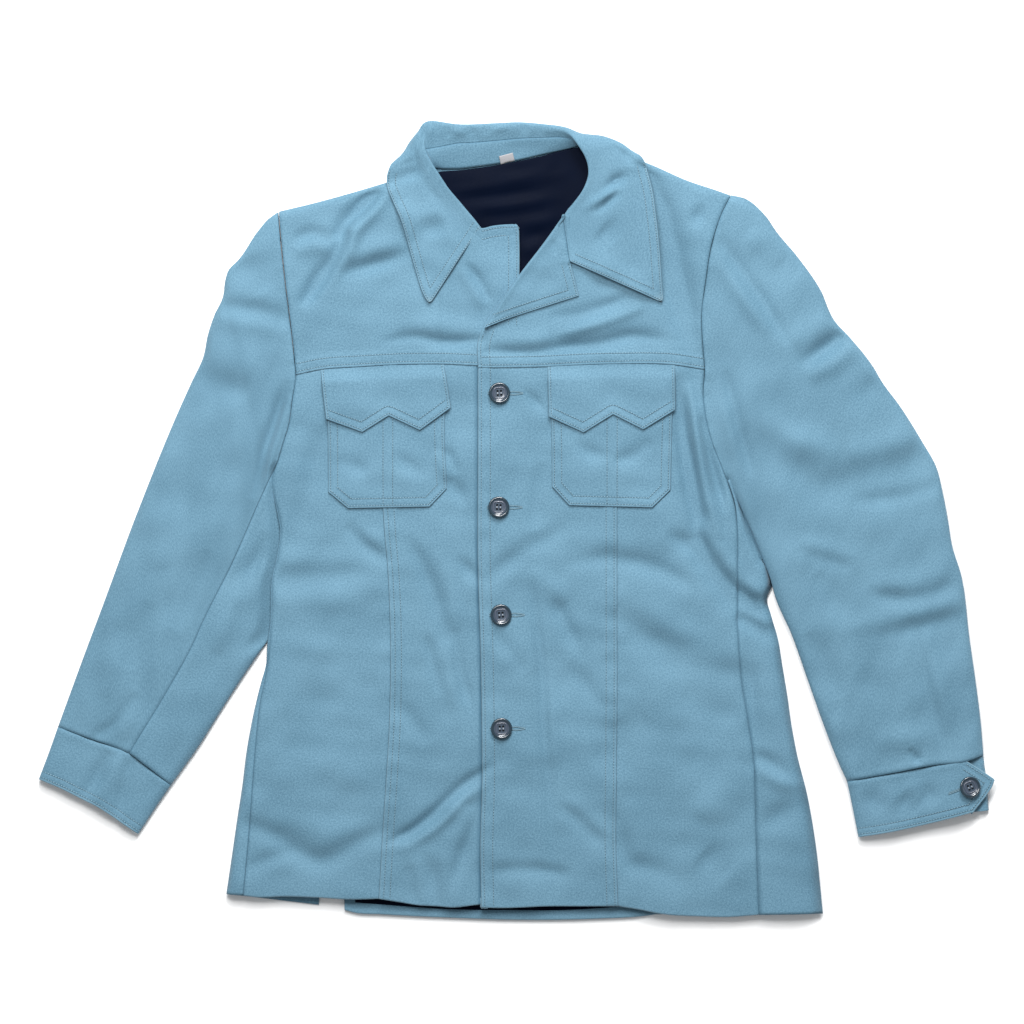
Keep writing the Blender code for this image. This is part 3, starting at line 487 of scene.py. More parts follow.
def crease(place, folds):
    """Soft ridges and troughs along their lines, fading out at both ends."""
    total = np.zeros(place.shape[:-1])
    for number, (height, width, *places) in enumerate(folds):
        line = curve(places, count=24)
        low, high = line.min(0) - 2.7 * width, line.max(0) + 2.7 * width
        inside = ((place > low) & (place < high)).all(-1)
        if inside.any():
            gap, along = nearest(place[inside], line, every=1)
            taper = np.sin(np.pi * along) ** 0.75
            spread_out = width * (0.75 + 0.35 * taper)
            uneven = 1 + 0.2 * np.sin(along * 7 + number * 2.1)
            total[inside] += height * taper * uneven * near(gap, spread_out)
    return total


def right_of(place, line):
    """How far to the right of a line that runs down the plan each place is."""
    return place[..., 0] - np.interp(-place[..., 1], -line[:, 1], line[:, 0])


BODY_FOLDS = [curve(line) for line in (SHOULDER_L, SHOULDER_R, OUTLINE_L, OUTLINE_R)]


def low_side(place, side):
    """Height of a side's lower layer: on the table, but at the left it lies on the sleeve."""
    if side == "right":
        return ON_TABLE
    left = ramp(place[..., 1], -122, -104) * (1 - ramp(place[..., 1], 30, 44))
    return ON_TABLE + 3.0 * left * ramp(-place[..., 0], 190, 215)


def front_height(place):
    """Height of the fronts: a soft crown inside the side folds, with creases and unevenness."""
    gap = np.minimum.reduce([nearest(place, line)[0] for line in BODY_FOLDS])
    high = 9.2 + 1.8 * (1 - np.exp(-gap / 24))
    high += (crease(place, FRONT_FOLDS) + waves(place, 3, 0.7)) * ramp(gap, 0, 9)
    high += 1.4 * over_collar(place) * ramp(gap, 0, 9)
    low = 4.9 + 1.1 * over_collar(place)
    return low + np.logaddexp((high - low) * 1.6, 0) / 1.6, gap


def strip(side, inner, fold, under):
    """A side-back: from the side seam over the side fold and back along the table."""
    levels = np.linspace(0, 1, 140)
    lines = [at(curve(line, by=1), levels)[:, None] for line in (inner, fold, under)]
    over = np.linspace(0, 1, 9)[None, :, None] ** 0.7
    top = lines[1] + (lines[0] - lines[1]) * over
    back = np.r_[0.012, 0.03, 0.06, 0.1, np.linspace(0.16, 1, 14)][None, :, None]
    low = lines[1] + (lines[2] - lines[1]) * back
    gap_top = np.linalg.norm(top - lines[1], axis=2)
    gap_low = np.linalg.norm(low - lines[1], axis=2)
    place = np.hstack([low[:, ::-1], top])
    gap = np.hstack([-gap_low[:, ::-1], gap_top])
    high, _ = front_height(place)
    height = turned(high, low_side(place, side), gap, 8)
    seam = np.hstack([np.full(gap_low.shape, FAR), np.linalg.norm(top - lines[0], axis=2)])
    seam = seam + FAR * (side == "left") * ramp(place[..., 1], -124, -112)
    height = height - 0.7 * near(seam, 1.2)
    if side == "right":
        body_fold = BODY_FOLDS[3]
        beyond_body = ramp(nearest(place, body_fold)[0], 0, 3.5) * (right_of(place, body_fold) > 0)
        height = height * (1 - beyond_body) + np.minimum(height, 1.7) * beyond_body
        place, height, seam = place[:, ::-1], height[:, ::-1], seam[:, ::-1]
    # Darker along the side seam: painted shade with some dirt.
    sew(f"back_side_{side}", place, height, shade_and_dirt=0.45 * near(seam, 0.6))


# Each fold: height, width and the places it runs through, in mm
FRONT_FOLDS = [
    (-9.1, 7.8, (-125, 309), (-144, 289), (-158, 275), (-170, 260)),
    (-8.6, 7.8, (-154, 269), (-169, 240), (-181, 225), (-201, 197)),
    (7.5, 7.2, (-111, 312), (-137, 283), (-149, 270), (-155, 255), (-163, 239), (-186, 205)),
    (-2.8, 6.0, (-209, 256), (-191, 266), (-170, 259)),
    (2.3, 7.2, (-206, 247), (-185, 254), (-169, 249)),
    (-4.6, 7.2, (-96, 248), (-128, 238), (-167, 227)),
    (3.3, 9.6, (-104, 258), (-134, 250), (-155, 240)),
    (-3.7, 5.4, (-127, 164), (-90, 169), (-73, 165), (-25, 167)),
    (2.8, 10.8, (-114, 180), (-71, 178), (-32, 176)),
    (-3.0, 4.2, (-46, 238), (-34, 219), (-24, 202)),
    (2.3, 6.0, (-54, 234), (-41, 215), (-32, 195)),
    (-3.7, 14.4, (-178, 89), (-193, 22), (-213, -40)),
    (3.0, 12.0, (-200, 85), (-207, 36), (-217, -13)),
    (-2.8, 7.2, (-159, -6), (-140, -24), (-116, -43)),
    (2.3, 7.2, (-150, -5), (-132, -20), (-118, -31)),
    (-4.3, 15.6, (-239, -54), (-206, -56), (-183, -52), (-136, -51)),
    (2.7, 12.0, (-233, -43), (-192, -40), (-144, -38)),
    (3.0, 14.4, (-239, -74), (-183, -72), (-122, -67)),
    (-2.5, 4.8, (-67, 67), (-55, 42)),
    (2.1, 6.0, (-75, 63), (-62, 35)),
    (-2.5, 6.0, (-62, 40), (-47, 11)),
    (-3.5, 7.2, (-102, -15), (-82, -57), (-74, -80), (-65, -117)),
    (2.8, 8.4, (-74, -29), (-62, -66), (-55, -105)),
    (-3.0, 6.0, (-55, -35), (-43, -49), (-33, -61)),
    (-2.5, 4.8, (-84, -107), (-78, -136), (-72, -163)),
    (-2.7, 5.4, (-58, -101), (-52, -144), (-40, -182)),
    (2.1, 6.0, (-66, -111), (-60, -159), (-52, -197)),
    (-2.5, 8.4, (-116, -163), (-82, -209)),
    (-6.1, 5.4, (-20, -227), (-50, -248), (-65, -263), (-78, -275), (-90, -285), (-126, -304)),
    (4.6, 6.0, (-24, -244), (-53, -263), (-67, -277), (-81, -288), (-112, -310)),
    (-3.3, 4.2, (-61, -268), (-79, -284), (-105, -303)),
    (-1.9, 7.2, (-100, -322), (-96, -359)),
    (-2.5, 8.4, (-84, -310), (-78, -336), (-73, -366)),
    (2.1, 7.2, (-92, -313), (-85, -362)),
    (3.7, 10.8, (-46, -266), (-58, -317), (-66, -369)),
    (-3.7, 7.2, (-31, -259), (-49, -308), (-73, -371)),
    (-4.0, 9.6, (-269, -277), (-225, -295), (-208, -305), (-183, -318), (-164, -312), (-149, -301),
     (-100, -285)),
    (2.8, 12.0, (-252, -268), (-201, -284), (-174, -295), (-131, -278)),
    (-2.5, 7.2, (-254, -325), (-229, -316), (-203, -306)),
    (-10.3, 13.2, (110, 352), (130, 291), (139, 259), (149, 216), (161, 168), (178, 107)),
    (4.0, 14.4, (175, 322), (172, 259), (177, 187)),
    (-2.8, 6.0, (174, 293), (164, 270)),
    (3.8, 5.4, (36, 171), (78, 182), (119, 197)),
    (-3.2, 6.0, (30, 187), (68, 193), (110, 209)),
    (-4.3, 6.6, (19, 160), (78, 163), (104, 169), (153, 164)),
    (-3.7, 5.4, (-33, 156), (22, 155), (63, 163)),
    (2.5, 7.2, (-22, 167), (33, 167)),
    (-8.3, 7.8, (150, 135), (156, 73), (163, 32), (168, -1), (171, -49)),
    (6.1, 6.0, (160, 126), (168, 69), (175, 27), (190, -20)),
    (-4.3, 4.8, (171, 96), (182, 47), (195, 5)),
    (-4.0, 7.2, (139, -13), (161, -24), (182, -29)),
    (-7.5, 13.2, (167, -14), (191, -57), (212, -81), (242, -114)),
    (5.5, 8.4, (169, 0), (191, -36), (212, -66)),
    (-3.8, 8.4, (41, -42), (88, -37), (115, -41), (134, -47), (176, -71)),
    (-4.6, 15.6, (73, -77), (110, -100), (128, -113), (156, -127), (185, -139), (227, -153)),
    (4.0, 16.8, (77, -66), (124, -89), (161, -113), (224, -134)),
    (-5.8, 4.8, (197, -64), (219, -78), (243, -97)),
    (-5.8, 4.8, (203, -91), (225, -102), (249, -117)),
    (4.0, 6.0, (203, -77), (244, -106)),
    (3.3, 7.2, (204, -52), (236, -76)),
    (-3.3, 8.4, (-32, -60), (-4, -38), (12, -26), (48, -8)),
    (2.8, 10.8, (12, -47), (46, -79)),
    (-3.5, 7.2, (28, -63), (46, -99), (63, -133)),
    (-3.0, 4.8, (11, -48), (22, -122), (25, -162), (26, -204), (30, -252), (35, -333)),
    (2.1, 6.0, (25, -95), (32, -168), (37, -242)),
    (-2.3, 8.4, (49, -134), (68, -159), (85, -177)),
    (-2.1, 7.2, (-23, -104), (-6, -124), (9, -142)),
    (-3.0, 8.4, (24, 53), (19, 18), (16, -11)),
    (-2.5, 4.2, (6, 121), (29, 97)),
    (-2.3, 7.2, (39, -265), (59, -282), (82, -303)),
    (1.7, 7.2, (45, -260), (65, -275), (88, -295)),
    (-3.7, 9.6, (88, -260), (97, -299), (104, -319), (124, -326), (158, -336)),
    (-3.2, 14.4, (171, -311), (196, -333)),
    (-2.8, 6.6, (-30, -328), (12, -325), (52, -331)),
    (-3.7, 6.6, (213, -100), (217, -145), (219, -170), (224, -239)),
    (-3.3, 5.4, (222, -216), (240, -230), (259, -242)),
    (2.8, 6.0, (220, -228), (240, -242), (261, -252)),
    (-3.5, 9.6, (224, -290), (245, -275), (268, -258)),
    (3.0, 14.4, (169, -279), (215, -231)),
    (-3.0, 15.6, (154, -162), (213, -186)),
    (-2.5, 6.6, (53, 72), (70, 61), (89, 59)),
    (-2.5, 6.6, (90, 53), (109, 60), (126, 73)),
    (-2.3, 7.2, (-168, 54), (-137, 44)),
    (-2.1, 7.2, (-116, 63), (-86, 37)),
    (2.3, 14.4, (-9, -227), (89, -203)),
    (-2.3, 16.8, (121, -181), (72, -230)),
    (2.3, 16.8, (-220, -111), (-146, -123)),
    (-2.3, 16.8, (-212, -170), (-126, -158)),
    (2.3, 16.8, (-210, -221), (-137, -246)),
]

# Under the right sleeve the side-back's fold reaches past the front's
UNDER_SLEEVE_R = [(206, 40), (214, 12), (222, -9), (231, -32), (236, -50), (238, -60), (233, -73)]
strip("left", SIDE_L, OUTLINE_L, VENT_L)
strip("right", SIDE_R, UNDER_SLEEVE_R + OUTLINE_R[7:], BACK_R)


# ------------------------------------------------------------------ back lining
# Navy satin over the back, sewn to the stand at the neck and to the turned-up hem. It shows in the
# neck opening, where it lies in soft level wrinkles, and as a thin line above the back hem.

LINING_TOP = [(-212, 222), (-160, 262), (-118, 290), (-77, 322), (-51, 324.6), (-20, 329), (15, 335.7),
              (53, 345), (66, 347), (118, 305), (166, 250)]
LINING_LEFT = [(-212, 222), (-207, 134), (-209, 90), (-190, -30), (-172, -140), (-160, -250), (-150, -357)]
LINING_RIGHT = [(166, 250), (168, 134), (172, 90), (150, -30), (136, -140), (126, -250), (122, -358)]
LINING_HEM = [(-150, -357), (-110, -360), (-66, -363), (-4, -364), (42, -364), (80, -362), (122, -358)]
LINING_FOLDS = [
    (0.9, 5, (-66, 306), (-30, 309), (10, 316), (50, 322)),
    (-0.8, 4, (-60, 297), (-20, 300), (30, 306)),
    (0.8, 5, (-50, 289), (-15, 291), (20, 296), (46, 300)),
    (-0.8, 5, (-40, 281), (0, 283), (30, 288)),
    (0.6, 4, (2, 274), (20, 276), (38, 280)),
    (-0.7, 4, (4, 262), (16, 264), (28, 266)),
    (0.7, 5, (5, 250), (14, 252), (22, 252)),
    (0.8, 6, (-70, 318), (-40, 318), (0, 322), (40, 332)),
    (-0.7, 3.5, (-20, 322), (6, 325), (30, 331)),
]


def satin(name):
    """Satin: close floats that give a broad soft gloss."""
    finish = Finish(name)
    run = finish.cloth_place()
    fibre = finish.node("ShaderNodeMapping", {}, {"Vector": run, "Scale": (1.0, 9.0, 1.0)})
    floats = finish.noise(fibre, 420.0, 3.0)
    broad = finish.noise(run, 30.0, 2.0)
    deep, lit = (0.0004, 0.0016, 0.0064, 1), (0.0016, 0.0044, 0.0150, 1)
    finish.set(
        Base_Color=finish.mix(floats * 0.5 + broad * 0.5, deep, lit), Roughness=0.44 + broad * 0.12,
        Specular_IOR_Level=0.03, Normal=finish.relief(floats, 0.00012),
    )
    return finish


lining_satin = satin("navy_satin")
cut = panel(
    curve(LINING_TOP, by=0), curve(LINING_HEM, by=0), curve(LINING_LEFT, by=1), curve(LINING_RIGHT, by=1),
    ((0, 1, 3), (0, 1, 3), (0, 1, 2.5), (0, 0.5, 1.2)), cell=3.9,
)
lie = 3.3 + 1.7 * over_collar(cut.place) + 1.8 * crease(cut.place, LINING_FOLDS)
lie = turned(lie + waves(cut.place, 8, 0.3), 1.9, cut.bottom, 1.0)
sew("back_lining", cut.place, lie, thick=0.5, finish=lining_satin)


# ------------------------------------------------------------------ fronts
# Each front is a yoke, a centre panel and a side panel. The yoke laps over the panels and the
# centre panel over the side panel, with two rows of topstitching; the right front laps over the
# left. Wearing and folding have left soft creases, longest at the underarms and below the waist.

YOKE_SEAM_L = [(-205, 134), (-201, 134.9), (-183, 138.6), (-146, 141.4), (-98, 143.7), (-67, 143.7),
               (-37, 142.4), (3, 141)]
YOKE_SEAM_R = [(-36, 140.4), (-15, 140.4), (29, 141.4), (63, 143.2), (95, 144), (146, 143.2), (175, 139)]
PANEL_L = [(-124, 143), (-124.2, 70), (-124.2, 10), (-122.4, -17), (-119.6, -49), (-118.2, -77),
           (-118.2, -187), (-121.5, -246), (-124.2, -286), (-128, -353)]
PANEL_R = [(93.4, 144), (93.4, 70), (93.4, 11), (93.4, -90), (93.4, -168), (92.8, -240), (92.4, -300),
           (94.3, -360)]
FRONT_EDGE = [(-36, 140.4), (-36, 60), (-36, -40), (-33.4, -129), (-32.4, -194), (-32.2, -243),
              (-33.8, -307), (-32.8, -361)]
NECK_L = [(-77.5, 324), (-76.8, 318), (-66, 302), (-56, 289), (-43, 277), (-33, 270.5), (-22, 272.6),
          (-8, 273.9), (-1.5, 273.7), (1.2, 272)]
NECK_R = [(66, 349), (68, 320), (58, 300), (44, 279), (22, 250), (-1, 222), (-32, 177), (-36, 165),
          (-36, 140.4)]
# Rows of stitching, in mm from the edge they follow
LAP_ROWS = (2.8, 10.2)
EDGE_ROWS = (3.3, 11.6)
PANEL_ROWS_L = (4.4, 10.2)
UNDERLAP_ROWS = (2.7, 10.2)
# Where columns and rows of cloth stand beside a seam, and beside an edge with two rows of stitching
SEAM = (0, 0.4, 0.9, 1.6, 2.6)
WITH_ROWS = (0, 0.35, 0.8, 1.4, 2.1, 2.8, 3.5, 4.6, 6.2, 7.8, 9.2, 10.2, 11.2, 12.6)
WITH_ROWS_WIDE = (0, 0.4, 1.0, 2.0, 3.2, 4.0, 4.8, 5.6, 7.0, 8.4, 9.4, 10.4, 11.4, 12.8)


def rows_dip(distance, *places):
    """The shallow channels that rows of topstitching pull into the cloth."""
    return -sum(0.26 * near(distance - place, 0.75) for place in places)


def plain_seam(distance):
    """Cloth that dips into a plain seam and stands a little proud beside it."""
    return -0.85 * near(distance, 1.15) + 0.3 * near(distance - 4, 2.6)


def lapped(distance):
    """Cloth that laps over a seam: thicker over the turning, rounded at its edge."""
    return 0.8 * (1 - ramp(distance, 10.5, 14.5)) * turned(1.0, -0.55, distance, 0.9)


def pucker(place, distance, line, seed, height=0.16, reach=8.0):
    """Small ripples across a stitched seam, where the thread has drawn the cloth in."""
    chance = np.random.default_rng(seed)
    run = nearest(place, line)[1] * len(line)
    total = sum(
        np.sin(run * chance.uniform(0.11, 0.36) + chance.uniform(0, math.tau)) for _ in range(5)
    )
    return height * total / 1.7 * near(distance, reach)


def front_step(place):
    """The right front rises where it laps over the left one."""
    return 2.4 * (1 - ramp(place[..., 0], 6, 40))


lines = {}
for name, places in (
    ("yoke_seam_left", YOKE_SEAM_L), ("yoke_seam_right", YOKE_SEAM_R),
    ("top_left", SHOULDER_L[:-1] + NECK_L), ("top_right", SHOULDER_R),
):
    lines[name] = curve(places, by=0)
for name, places in (
    ("panel_left", PANEL_L), ("panel_right", PANEL_R), ("front_edge", FRONT_EDGE), ("neck_right", NECK_R),
    ("armhole_left", ARMHOLE_L), ("armhole_right", ARMHOLE_R),
    ("side_left", ARMHOLE_L_LOW[:-1] + SIDE_L), ("side_right", ARMHOLE_R_LOW[:-1] + SIDE_R),
    ("underlap", [(1.2, 272), (2.3, 268.5), (2.6, 262), (2.6, 205), (3, 141)]),
    ("underlap_low", [(3, 141), (3, 0), (3, -180), (3, -359)]),
):
    lines[name] = curve(places, by=1)


def cut_line(line, axis, start, end):
    """The part of a line between two coordinates, even along that axis."""
    shares = np.linspace(0, 1, len(line))
    order = np.sign(line[-1, axis] - line[0, axis])
    places = np.linspace(start, end, len(line))
    return at(line, np.interp(places * order, line[:, axis] * order, shares))


# Left yoke, over the shoulder fold and, past the neck, on under the right front
shoulder_wrap = (-7, -5, -3.4, -2, -1, -0.4, 0, 0.4, 1, 1.9, 2.7, 3.6, 5, 7, 9, 10.2, 11.4, 13)
cut = panel(
    lines["top_left"], lines["yoke_seam_left"], lines["armhole_left"], lines["underlap"],
    (SEAM, (-3.5, -2.2, -1.2, -0.5, 0, 0.4, 0.9, 1.9, 2.7, 3.5, 5, 7, 9.2, 10.2, 11.2, 12.6),
     shoulder_wrap, WITH_ROWS), cell=2.55,
)
high, _ = front_height(cut.place)
underlap = ramp(cut.place[..., 0], -60, -36)
edge_low = 1.2 + underlap * (high - 4.2)
radius = 7.5 - 6.1 * underlap
height = turned(high, edge_low, cut.top, radius)
height = np.where(underlap > 0.99, turned(height, high - 3, cut.right, 1.4), height)
height = height + plain_seam(cut.left) + lapped(cut.bottom) + rows_dip(cut.bottom, *LAP_ROWS)
height += rows_dip(np.where(underlap > 0.9, cut.top, FAR), *UNDERLAP_ROWS)
height += rows_dip(np.where(cut.bottom > 14, cut.right, FAR), *UNDERLAP_ROWS)
height += pucker(cut.place, cut.bottom - 6, lines["yoke_seam_left"], 21)
# Painted shade in the armhole seam; wear and a painted highlight on its lapped and free edges.
sew("yoke_left", cut.place, height, shade_and_dirt=0.5 * near(cut.left, 0.6),
    wear_and_highlight=0.25 * near(cut.bottom, 0.8) + 0.3 * underlap * near(cut.right, 0.9))

# Right yoke, with its free edge along the neck
neck_turn = (-3, -1.6, -0.7, 0, 0.4, 0.9, 1.6, 2.4, 3.3, 4.2, 6, 8, 10, 11.6, 12.6)
cut = panel(
    lines["top_right"], lines["yoke_seam_right"], lines["neck_right"], lines["armhole_right"],
    (neck_turn, SEAM, shoulder_wrap, WITH_ROWS), cell=2.55,
)
high = front_height(cut.place)[0] + front_step(cut.place)
height = turned(high, 1.2, cut.top, 7.5)
height = np.where(cut.top > 12, turned(height, high - 3, cut.left, 1.5), height)
height = height + plain_seam(cut.right) + lapped(cut.bottom) + rows_dip(cut.bottom, *LAP_ROWS)
low_edge = np.where(cut.place[..., 1] < 170, cut.left, FAR)
height += rows_dip(low_edge, *EDGE_ROWS)
height += pucker(cut.place, cut.bottom - 6, lines["yoke_seam_right"], 22)
# Painted shade in the armhole seam; wear and a painted highlight on its lapped and neck edges.
sew("yoke_right", cut.place, height, shade_and_dirt=0.5 * near(cut.right, 0.6),
    wear_and_highlight=0.25 * near(cut.bottom, 0.8) + 0.35 * near(low_edge, 0.9))

# Side panels, under the lap of the yoke and the centre panel
hem = (-9, -5, -2.4, -1.2, -0.5, 0, 0.4, 1, 2, 4)
for side, top, left, right, bottom in (
    ("left", cut_line(lines["yoke_seam_left"], 0, -205, -124), lines["side_left"], lines["panel_left"],
     [(-254, -350), (-242, -351.5), (-216, -351), (-184, -352), (-155, -353.6), (-128, -353)]),
    ("right", cut_line(lines["yoke_seam_right"], 0, 93.4, 175), lines["panel_right"], lines["side_right"],
     [(94.3, -360), (116, -363.5), (134, -367), (171, -369.5), (199, -370), (225, -368)]),
):
    top[0], top[-1] = left[0], right[0]
    cut = panel(top, curve(bottom, by=0), left, right, (SEAM, SEAM, SEAM, hem), cell=2.55)
    outer, inner = (cut.left, cut.right) if side == "left" else (cut.right, cut.left)
    high, gap = front_height(cut.place)
    height = turned(high, low_side(cut.place, side), gap, 8)
    height = turned(height, height - 2.4, cut.bottom, 1.2)
    height += plain_seam(outer) - 0.5 * near(inner, 1.2) - 0.3 * near(cut.top, 2)
    height += pucker(cut.place, inner, lines[f"panel_{side}"], 31, 0.13, 10)
    down = cut.place[..., 1]
    no_seam = FAR * (side == "left") * ramp(down, -124, -112) * ramp(-down, -30, -20)
    # Painted shade in the side seam; wear and a painted highlight at the hem.
    sew(f"front_side_{side}", cut.place, height, wear_and_highlight=0.3 * near(cut.bottom),
        shade_and_dirt=0.45 * near(outer + no_seam, 0.6))

# Centre panels, the right one lapping over the left, whose edge has a painted shadow line beside it
HEM_CENTRE_L = [(-128, -353), (-110, -356), (-92, -359), (-76, -360), (-60, -361), (-35, -358.5),
                (3, -359)]
HEM_CENTRE_R = [(-32.8, -361), (-15, -361.5), (27, -360), (62, -360), (94.3, -360)]
cut = panel(
    cut_line(lines["yoke_seam_left"], 0, -124, 3), curve(HEM_CENTRE_L, by=0), lines["panel_left"],
    lines["underlap_low"], (WITH_ROWS_WIDE, (0, 2), SEAM, hem), cell=2.55,
)
high, _ = front_height(cut.place)
height = turned(high, high - 2.4, cut.bottom, 1.2)
height += lapped(cut.left) + rows_dip(cut.left, *PANEL_ROWS_L) - 0.3 * near(cut.top, 2)
height += pucker(cut.place, cut.left - 6, lines["panel_left"], 41, 0.2, 9)
under_edge, _ = nearest(cut.place, lines["front_edge"])
# Painted shadow of the right front's edge on this panel, beside a real dip; wear and a painted highlight at
# its lap and hem.
sew("front_centre_left", cut.place, height - 0.8 * near(under_edge, 2.2),
    wear_and_highlight=0.4 * near(cut.left, 0.8) + 0.3 * near(cut.bottom), shade_and_dirt=1.3 * near(under_edge, 1.9))

edge_turn = (-6, -3.5, -1.8, -0.8, -0.3, 0, 0.3, 0.8, 1.6, 2.5, 3.3, 4.1, 6, 8, 10, 11, 11.8, 12.6, 14)
cut = panel(
    cut_line(lines["yoke_seam_right"], 0, -36, 93.4), curve(HEM_CENTRE_R, by=0), lines["front_edge"],
    lines["panel_right"], (edge_turn, WITH_ROWS, SEAM, hem), cell=2.55,
)
high = front_height(cut.place)[0] + front_step(cut.place)
height = turned(high, high - 2.2, cut.bottom, 1.2)
height = turned(height, height - 2.8, cut.left, 1.3)
height += lapped(cut.right) + rows_dip(cut.right, *LAP_ROWS) + rows_dip(cut.left, *EDGE_ROWS)
height += 0.3 * ramp(cut.left, 0, 2) * (1 - ramp(cut.left, 11, 16)) - 0.3 * near(cut.top, 2)
height += pucker(cut.place, cut.right - 6, lines["panel_right"], 42, 0.2, 9)
height += pucker(cut.place, cut.left - 7, lines["front_edge"], 43, 0.16, 8)
# Wear and a painted highlight along its front edge, lap and hem.
sew("front_centre_right", cut.place, height,
    wear_and_highlight=0.4 * near(cut.left) + 0.25 * near(cut.right, 0.8) + 0.3 * near(cut.bottom))


# ------------------------------------------------------------------ right lapel
# The top of the right front, turned back on its roll line with its facing outwards. Two layers of
# twill, edge-stitched twice; it springs up along the roll and lies on the yoke at its point.

LAPEL_ROLL = [(43.6, 282.3), (40, 277.2), (24, 255), (-1, 222), (-18, 196), (-30, 177)]
LAPEL_OUTER = [(49.0, 281.5), (49.2, 276), (50.6, 256), (53.6, 241.5), (49.9, 238.6), (58, 207)]
LAPEL_LOWER = [(-30, 177), (-10, 185), (14, 193), (37, 200.5), (58, 207)]
GORGE = [(43, 280.5), (45.6, 260), (49.4, 239.2)]
COLLAR_STITCHING = (1.9, 8.4)
TWO_ROWS = (0, 0.35, 0.8, 1.4, 1.9, 2.6, 4, 6, 7.4, 8.4, 9.4)
roll_turn = (-6, -4.4, -3, -1.8, -0.9, -0.35, 0, 0.35, 0.9, 1.8, 3, 4.4, 7, 9)

cut = panel(
    curve([LAPEL_ROLL[0], LAPEL_OUTER[0]]), curve(LAPEL_LOWER), curve(LAPEL_ROLL),
    curve(LAPEL_OUTER, sharp=True), (roll_turn, TWO_ROWS, (0, 1, 2), TWO_ROWS), cell=1.7,
)
bed = front_height(cut.place)[0] + front_step(cut.place) + 1.9
spring = 4.6 * np.exp(-np.clip(cut.left, 0, FAR) / 17)
spring = spring + 1.0 * ramp(cut.left, 6, 30) * ramp(cut.bottom, 0, 16)
lapel = bed + spring + 0.5 * crease(cut.place, [(-2.4, 3.0, (34, 260), (37, 245))])
lapel = turned(lapel, bed - 2.2, cut.left, 4.2)
on_gorge = ramp(cut.place[..., 1], 234, 240)
gorge_gap, _ = nearest(cut.place, curve(GORGE), every=1)
lapel = lapel + (bed + 2.6 - lapel) * near(gorge_gap, 9) * on_gorge
past_gorge = right_of(cut.place, np.array(GORGE))
lapel -= (2.0 * ramp(past_gorge, -0.5, 1.1) + 0.35 * near(past_gorge)) * on_gorge
free = np.minimum(cut.right + 30 * ramp(cut.place[..., 1], 236.5, 239), cut.bottom)
lapel = turned(lapel, lapel - 2.0, free, 0.8) + rows_dip(free, *COLLAR_STITCHING)
lapel += waves(cut.place, 17, 0.3)
# Painted shade in the gorge seam; wear and a painted highlight on its free edges.
sew("lapel_right", cut.place, lapel, thick=1.6,
    wear_and_highlight=0.3 * near(free, 0.7), shade_and_dirt=0.55 * near(past_gorge, 0.6) * on_gorge)


# ------------------------------------------------------------------ sleeves
# Two-piece sleeves lying flat as tubes: a top sleeve that wraps round the outer fold, and an under
# sleeve. On the left one the seam shows on top; its inner fold lies under the side of the body.

